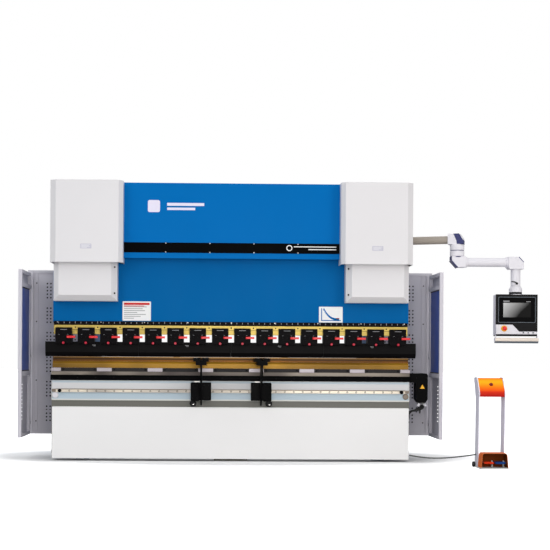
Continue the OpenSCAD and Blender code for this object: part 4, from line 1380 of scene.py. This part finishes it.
def hydraulics_details():
    """Motor fins, fan cover, terminal box, valves, gauge, level glass and breather."""
    shape = Shape()
    y, z = 560, 2240
    fins = 32
    for k in range(fins):
        t = 2 * math.pi * k / fins
        if abs(math.degrees(t) - 270) < 42:
            continue
        verts = shape.box((-395, -95), (-2, 2), (104, 120))
        shape.move(verts, Matrix.Translation((0, y, z)) @ Matrix.Rotation(t - math.pi / 2, 4, "X"))
    shape.turned("x", (y, z), [(-430, 96), (-430, 116), (-424, 121), (-372, 121), (-372, 112)], 48)
    shape.turned("x", (y, z), [(-70, 96), (-66, 118), (-52, 118), (-52, 70)], 40)
    shape.box((-300, -180), (y - 60, y + 60), (z + 98, z + 150))
    shape.ink = 1
    for k in range(4):
        shape.turned(
            "x", (y, z),
            [(-432.5, 22 + 24 * k), (-429.5, 22 + 24 * k), (-429.5, 14 + 24 * k), (-432.5, 14 + 24 * k)],
            40
        )
    for k in range(4):
        # solenoid valves on the block
        a = 210 + 56 * k
        shape.box((a, a + 40), (372, 468), (2219, 2262))
        shape.rod("y", (a + 20, 2242), (330, 374), 19, 24)
        shape.rod("y", (a + 20, 2242), (466, 510), 19, 24)
    shape.ink = 2
    for k in range(6):
        t = math.radians(60 * k)
        shape.bolt("x", (y + 100 * math.cos(t), z + 100 * math.sin(t)), -52, 9, 7)
    # pressure gauge
    shape.turned("y", (450, 2300), [(352, 34), (356, 36), (372, 36), (376, 32)], 40)
    shape.rod("z", (450, 364), (2262, 2268), 8, 16)
    shape.tube(flow([(450, 400, 2222), (450, 396, 2262), (450, 384, 2300), (450, 374, 2300)], 5), 5)
    shape.ink = 3
    shape.turned("y", (450, 2300), [(352.5, 30), (351.2, 30)], 40)
    materials = [motor_grey, black_oxide, bright_steel, mark_white]
    piece("power_unit_fittings", "machine", shape, materials, 0.0)

    y, z = edges("oil_tank")[1:]
    shape = Shape()
    back = y[1]
    # clean-out covers with bolts
    for middle in (-820, 820):
        outer = round_rect((middle - 190, middle + 190), (z[0] + 70, z[1] - 70), 40, 5)
        shape.ink = 0
        shape.prism(outer, "y", (back - 0.5, back + 10))
        shape.ink = 1
        for a in (-160, -55, 55, 160):
            for b in (z[0] + 92, z[1] - 92):
                shape.bolt("y", (middle + a, b), back + 10, 8, 8)
    shape.ink = 1
    shape.box((-30, 30), (back - 0.5, back + 14), (z[0] + 110, z[1] - 110))
    shape.ink = 2
    shape.box((-12, 12), (back + 13, back + 15.5), (z[0] + 130, z[1] - 130))
    shape.ink = 0
    shape.prism(rect((-1240, 1240), (z[1] - 6, z[1] + 4)), "y", (y[0] - 4, back + 6))
    shape.ink = 1
    # breather cap, filter bowl and drain
    cap = [(2180, 46), (2184, 52), (2206, 52), (2212, 46), (2214, 30)]
    shape.turned("z", (700, 570), cap, 40)
    shape.rod("y", (0, z[0] + 40), (back - 1, back + 22), 14, 24)
    shape.bolt("y", (0, z[0] + 40), back + 20, 14, 11)
    piece("tank_fittings", "machine", shape, [tank_blue, black_oxide, yellow_plastic], 1.0)

    cylinders = edges("hydraulic_cylinders")
    shape = Shape()
    top = cylinders[2][1]
    low = cylinders[2][0]
    c = 1300
    shape.turned("z", (c, 0), [(top - 6, 70), (top - 6, 98), (top + 2, 98), (top + 6, 92), (top + 6, 40)], 56)
    for k in range(10):
        t = 2 * math.pi * k / 10
        shape.ink = 1
        shape.rod("z", (c + 84 * math.cos(t), 84 * math.sin(t)), (top + 5, top + 17), 9, 12)
    shape.ink = 0
    shape.turned("z", (c, 0), [(low + 40, 104), (low + 42, 109), (low + 66, 109), (low + 68, 104)], 56)
    shape.ink = 1
    for z in (top - 70, low + 130):
        shape.rod("x", (-20, z), (c - 128, c - 98), 14, 20)
        shape.rod("x", (-20, z), (c - 140, c - 126), 17, 6)
    shape.mirror()
    piece("cylinder_fittings", "machine", shape, [black_paint, black_oxide], 0.0)


def frame_details():
    """Weld beads, bolts, plates and lifting marks of the welded frame."""
    x, y, z = edges("welded_frame")
    outer = -x[0] - 75
    shape = Shape()
    # weld beads beside the tie beams and foot plates
    inner = outer - 50
    for a, b, c, d in (
        (150, 2150, 300, 2150), (150, 2350, 300, 2350), (1050, 150, 1150, 150), (1050, 400, 1150, 400)
    ):
        shape.tube([(inner - 1, a, b), (inner - 1, (a + c) / 2, (b + d) / 2), (inner - 1, c, d)], 6, 8)
    for place in (110, y[1] - 80):
        shape.tube([(outer + 1, place - 48, 40), (outer + 1, place, 40), (outer + 1, place + 48, 40)], 6, 8)
    shape.mirror()
    shape.ink = 1
    for side in (-1, 1):
        for place in (110, y[1] - 80):
            c = (side * (outer + 40), place)
            shape.turned("z", c, [(39.5, 24), (43.5, 24)], 28)
            shape.rod("z", c, (43, 58), 17, 6)
            shape.rod("z", c, (43, 72), 9, 16)
    # flanges that carry the tank and cylinders
    for side in (-1, 1):
        for height in (1760, 2040):
            for place in (400, 740):
                shape.bolt("x", (place, height), side * outer, side * 12, 13)
        for height in (1800, 1950, 2100):
            shape.bolt("x", (170, height), side * outer, side * 12, 15)
        for place in (90, 200):
            shape.bolt("x", (place, 300), side * outer, side * 12, 13)
    shape.ink = 2
    for side in (-1, 1):
        # lined ring round the lifting bore
        c = (500, z[1] - 70)
        face = side * outer
        shape.frame(circle(c, 44, 40), circle(c, 31, 40), "x", (face - side * 0.5, face + side * 3))
    shape.ink = 3
    shape.prism(round_rect((700, 860), (1280, 1380), 6), "x", (-outer - 2, -outer + 0.5))
    shape.ink = 4
    for k in range(5):
        shape.box(
            (-outer - 2.5, -outer - 1.9), (716, (830, 800, 840, 780, 820)[k]),
            (1360 - 16 * k, 1364 - 16 * k)
        )
    materials = [frame_blue, black_oxide, bright_steel, bright_steel, mark_grey]
    piece("frame_fittings", "machine", shape, materials, 0.0)


def rear_gauge_details():
    """Rail carriages, motors, toothed belt cover and tie screws of the backgauge."""
    bx, by, bz = edges("backgauge_beam")
    shape = Shape()
    for side in (-1, 1):
        for place in (by[0] + 22, by[1] - 22):
            shape.bolt("z", (side * 870, place), bz[0] + 131, 8, 7)
        # end caps of the beam
        a = side * bx[1]
        shape.ink = 1
        shape.box(sorted((a, a + side * 8)), (by[0] + 12, by[1] - 12), (bz[1] - 78, bz[1] - 2))
        shape.ink = 0
    shape.ink = 2
    shape.box((-1100, 1100), (by[0] + 28, by[1] - 28), (bz[1] - 1, bz[1] + 7))
    piece(
        "gauge_beam_fittings", "backgauge_beam", shape, [black_oxide, pendant_black, bright_steel], 0.6,
    )

    ry, rz = edges("backgauge_rails")[1:]
    shape = Shape()
    for side in (-1, 1):
        for place in (850, 930):
            shape.screw("z", (side * 900, place), rz[1] - 0.4, 2, 5)
    shape.ink = 1
    back = ry[1]
    for k in range(5):
        shape.box((-57, 57), (back - 92 + 18 * k, back - 84 + 18 * k), (620, 740))
    shape.box((-40, 40), (back - 4, back + 2), (640, 720))
    shape.ink = 2
    shape.tube(
        flow([(30, back - 20, 736), (60, back - 10, 770), (160, back - 30, 790), (420, back - 60, 760)], 6),
        7
    )
    piece(
        "gauge_rail_fittings", "machine", shape, [bright_steel, black_paint, cable_black], 0.0,
    )

    for label in ("left", "right"):
        fx, fy, fz = edges("backgauge_finger_" + label)
        c = (fx[0] + fx[1]) / 2
        shape = Shape()
        shape.box((c - 31, c + 31), (fy[0] - 1.5, fy[0] + 4), (fz[1] - 16, fz[1] - 1))
        shape.ink = 1
        for dx in (-20, 20):
            shape.screw("z", (c + dx, 222), fz[1] - 0.4, 3, 5)
            shape.screw("z", (c + dx, 270), fz[1] - 0.4, 3, 5)
        shape.rod("x", (372, 850), (c + 44, c + 60), 12, 24)
        piece(
            "finger_fittings_" + label, "backgauge_finger_" + label, shape, [chrome, black_oxide], 0.4,
        )


def cabinet_details():
    """Louvres, door handle, lamps, isolator and cable trunk of the electrical cabinet."""
    x, y, z = edges("cabinet_door")
    shape = Shape()
    surface = 1745
    for k in range(8):
        shape.box((surface - 0.5, surface + 4), (640, 860), (z[0] + 110 + 22 * k, z[0] + 122 + 22 * k))
    shape.ink = 1
    # isolator and its yellow plate
    shape.rod("x", (740, 1450), (surface, surface + 12), 34, 40)
    shape.ink = 2
    shape.prism(round_rect((700, 780), (1410, 1490), 6), "x", (surface - 0.5, surface + 2))
    shape.ink = 3
    shape.box((surface + 10, surface + 26), (730, 750), (1420, 1480))
    for k, place in enumerate((620, 660)):
        shape.turned("x", (place, 1600), [(surface, 12), (surface + 6, 12), (surface + 10, 9)], 24)
    shape.ink = 4
    seal_out = round_rect((y[0] + 6, y[1] - 30), (z[0] + 10, z[1] - 10), 12)
    seal_in = round_rect((y[0] + 14, y[1] - 38), (z[0] + 18, z[1] - 18), 8)
    shape.frame(seal_out, seal_in, "x", (x[0] - 1.6, x[0] + 0.5))
    materials = [grey_paint, pendant_black, yellow_plastic, red_plastic, cable_black]
    piece("cabinet_door_fittings", "cabinet_door", shape, materials, 0.5)

    cx, cy, cz = edges("electrical_cabinet")
    shape = Shape()
    shape.box((1420, 1520), (cy[0] + 120, cy[0] + 220), (cz[1] - 1, cz[1] + 60))
    shape.ink = 1
    for k in range(3):
        y0 = cy[0] + 150 + 26 * k
        path = [
            (1470, y0, cz[1] + 50), (1470, y0, cz[1] + 160), (1440, y0, cz[1] + 250),
            (1335, y0, cz[1] + 300)
        ]
        shape.tube(flow(path, 6), 10)
    shape.ink = 2
    for a in (cy[0] + 40, cy[1] - 40):
        for b in (cz[0] + 60, cz[1] - 60):
            shape.rod("x", (a, b), (1324, 1330), 12, 20)
    for k in range(6):
        shape.box(
            (cx[0] + 60, cx[1] - 40), (cy[0] - 3, cy[0] + 0.5),
            (cz[0] + 90 + 24 * k, cz[0] + 102 + 24 * k)
        )
    shape.ink = 3
    for height in (925, 1125):
        for k in range(9):
            shape.box((cx[0] + 88, cx[0] + 94), (572 + 38 * k, 600 + 38 * k), (height - 30, height + 30))
    materials = [motor_grey, cable_black, grey_paint, black_oxide]
    piece("cabinet_fittings", "machine", shape, materials, 0.6)


band_and_marks()
plates()
cover_details()
clamp_details()
adapter_details()
punch_marks()
crowning()
bed_details()
drive_box_details()
support_details(-1, "support_arm_left")
support_details(1, "support_arm_right")
guards()
door_details(-1, "door_left", "left")
door_details(1, "door_right", "right")
arm()
pendant()
station()
cables()
hydraulics_details()
frame_details()
rear_gauge_details()
cabinet_details()

# ---- studio ----


def studio():
    """Pale floor, soft sky that the camera sees as white, and four soft lights."""
    floor = bpy.data.meshes.new("floor")
    reach = 60
    floor.from_pydata(
        [(-reach, -reach, 0), (reach, -reach, 0), (reach, reach, 0), (-reach, reach, 0)], [],
        [(0, 1, 2, 3)]
    )
    # bright to the eye, yet it throws little light back up at the machine's undersides
    g = Graph("floor_white")
    seen = g.add("ShaderNodeLightPath", {}).outputs["Is Camera Ray"]
    pale = g.mix(g.noise(0.6, 2.0), (0.93, 0.93, 0.93, 1), (0.95, 0.95, 0.95, 1))
    g.set(Base_Color=g.mix(seen, (0.42, 0.42, 0.42, 1), pale))
    g.set(Roughness=0.7, Specular_IOR_Level=0.0)
    # beside the machine the floor keeps its shadows; further off it fades into the backdrop
    flat = g.add("ShaderNodeVectorMath", {0: g.place, 1: (0, 0.35, 0)}, operation="SUBTRACT").outputs[0]
    flat = g.add("ShaderNodeVectorMath", {0: flat, 1: (0.62, 1.6, 0)}, operation="MULTIPLY").outputs[0]
    away = g.add("ShaderNodeVectorMath", {0: flat}, operation="LENGTH").outputs["Value"]
    glow = g.remap(away, 1.3, 1.75, 0.0, 0.85)
    g.set(Emission_Color=(1, 1, 1, 1), Emission_Strength=g.maths("MULTIPLY", seen, glow))
    floor.materials.append(g.material)
    obj = bpy.data.objects.new("floor", floor)
    bpy.context.scene.collection.objects.link(obj)

    world = bpy.data.worlds.new("studio")
    bpy.context.scene.world = world
    world.use_nodes = True
    tree = world.node_tree
    tree.nodes.clear()
    direction = tree.nodes.new("ShaderNodeTexCoord").outputs["Generated"]
    up = tree.nodes.new("ShaderNodeSeparateXYZ")
    tree.links.new(direction, up.inputs[0])
    ramp = tree.nodes.new("ShaderNodeMapRange")
    tree.links.new(up.outputs[2], ramp.inputs[0])
    ramp.inputs[1].default_value = -0.1
    ramp.inputs[2].default_value = 0.9
    ramp.inputs[3].default_value = 0.42
    ramp.inputs[4].default_value = 1.0
    sky = tree.nodes.new("ShaderNodeBackground")
    backdrop = tree.nodes.new("ShaderNodeBackground")
    backdrop.inputs["Color"].default_value = (1, 1, 1, 1)
    sky.inputs["Color"].default_value = (0.97, 0.985, 1, 1)
    path = tree.nodes.new("ShaderNodeLightPath")
    seen = path.outputs["Is Camera Ray"]
    dim = tree.nodes.new("ShaderNodeMapRange")
    tree.links.new(path.outputs["Is Glossy Ray"], dim.inputs[0])
    dim.inputs[3].default_value = 1.0
    dim.inputs[4].default_value = 0.5
    strength = tree.nodes.new("ShaderNodeMath")
    strength.operation = "MULTIPLY"
    tree.links.new(ramp.outputs[0], strength.inputs[0])
    tree.links.new(dim.outputs[0], strength.inputs[1])
    tree.links.new(strength.outputs[0], sky.inputs["Strength"])
    choose = tree.nodes.new("ShaderNodeMixShader")
    tree.links.new(seen, choose.inputs[0])
    tree.links.new(sky.outputs[0], choose.inputs[1])
    tree.links.new(backdrop.outputs[0], choose.inputs[2])
    output = tree.nodes.new("ShaderNodeOutputWorld")
    tree.links.new(choose.outputs[0], output.inputs["Surface"])

    lamps = {
        "key": ((-4.5, -6.5, 3.6), 4.0, 100, (0.95, 0.975, 1.0)),
        "fill": ((5.5, -6.5, 2.6), 4.0, 130, (1.0, 0.95, 0.9)),
        "low": ((0.5, -8.0, 0.9), 3.0, 190, (1.0, 0.985, 0.96)),
        "back": ((1.0, 5.5, 5.5), 4.0, 120, (1.0, 1.0, 1.0)),
    }
    for name, (place, size, power, colour) in lamps.items():
        lamp = bpy.data.lights.new(name, "AREA")
        lamp.shape = "DISK"
        lamp.size = size
        lamp.energy = power
        lamp.color = colour
        holder = bpy.data.objects.new(name, lamp)
        holder.location = place
        target = Vector((0, 0, 1.1)) - Vector(place)
        holder.rotation_euler = target.to_track_quat("-Z", "Y").to_euler()
        bpy.context.scene.collection.objects.link(holder)
    bpy.context.scene.view_settings.view_transform = "Standard"


def camera():
    """A long lens level with the tools, shifted as a photographer sets it for straight uprights.

    The shift only holds at the camera's own place, so views from elsewhere stay centred."""
    data = bpy.data.cameras.new("camera")
    data.sensor_width = 36
    data.lens = 76.84
    obj = bpy.data.objects.new("camera", data)
    home = (-0.153, -10.6, 0.948)
    obj.location = home
    obj.rotation_euler = (math.pi / 2, math.radians(-0.37), math.radians(-1.2))
    bpy.context.scene.collection.objects.link(obj)
    bpy.context.scene.camera = obj
    for path, amount in (("shift_x", 0.066), ("shift_y", 80 / 550)):
        driver = data.driver_add(path).driver
        driver.type = "SCRIPTED"
        place = driver.variables.new()
        place.name = "place"
        place.targets[0].id = obj
        place.targets[0].data_path = "location[1]"
        driver.expression = f"{amount:.5f} if abs(place - {home[1]}) < 0.001 else 0"


studio()
camera()
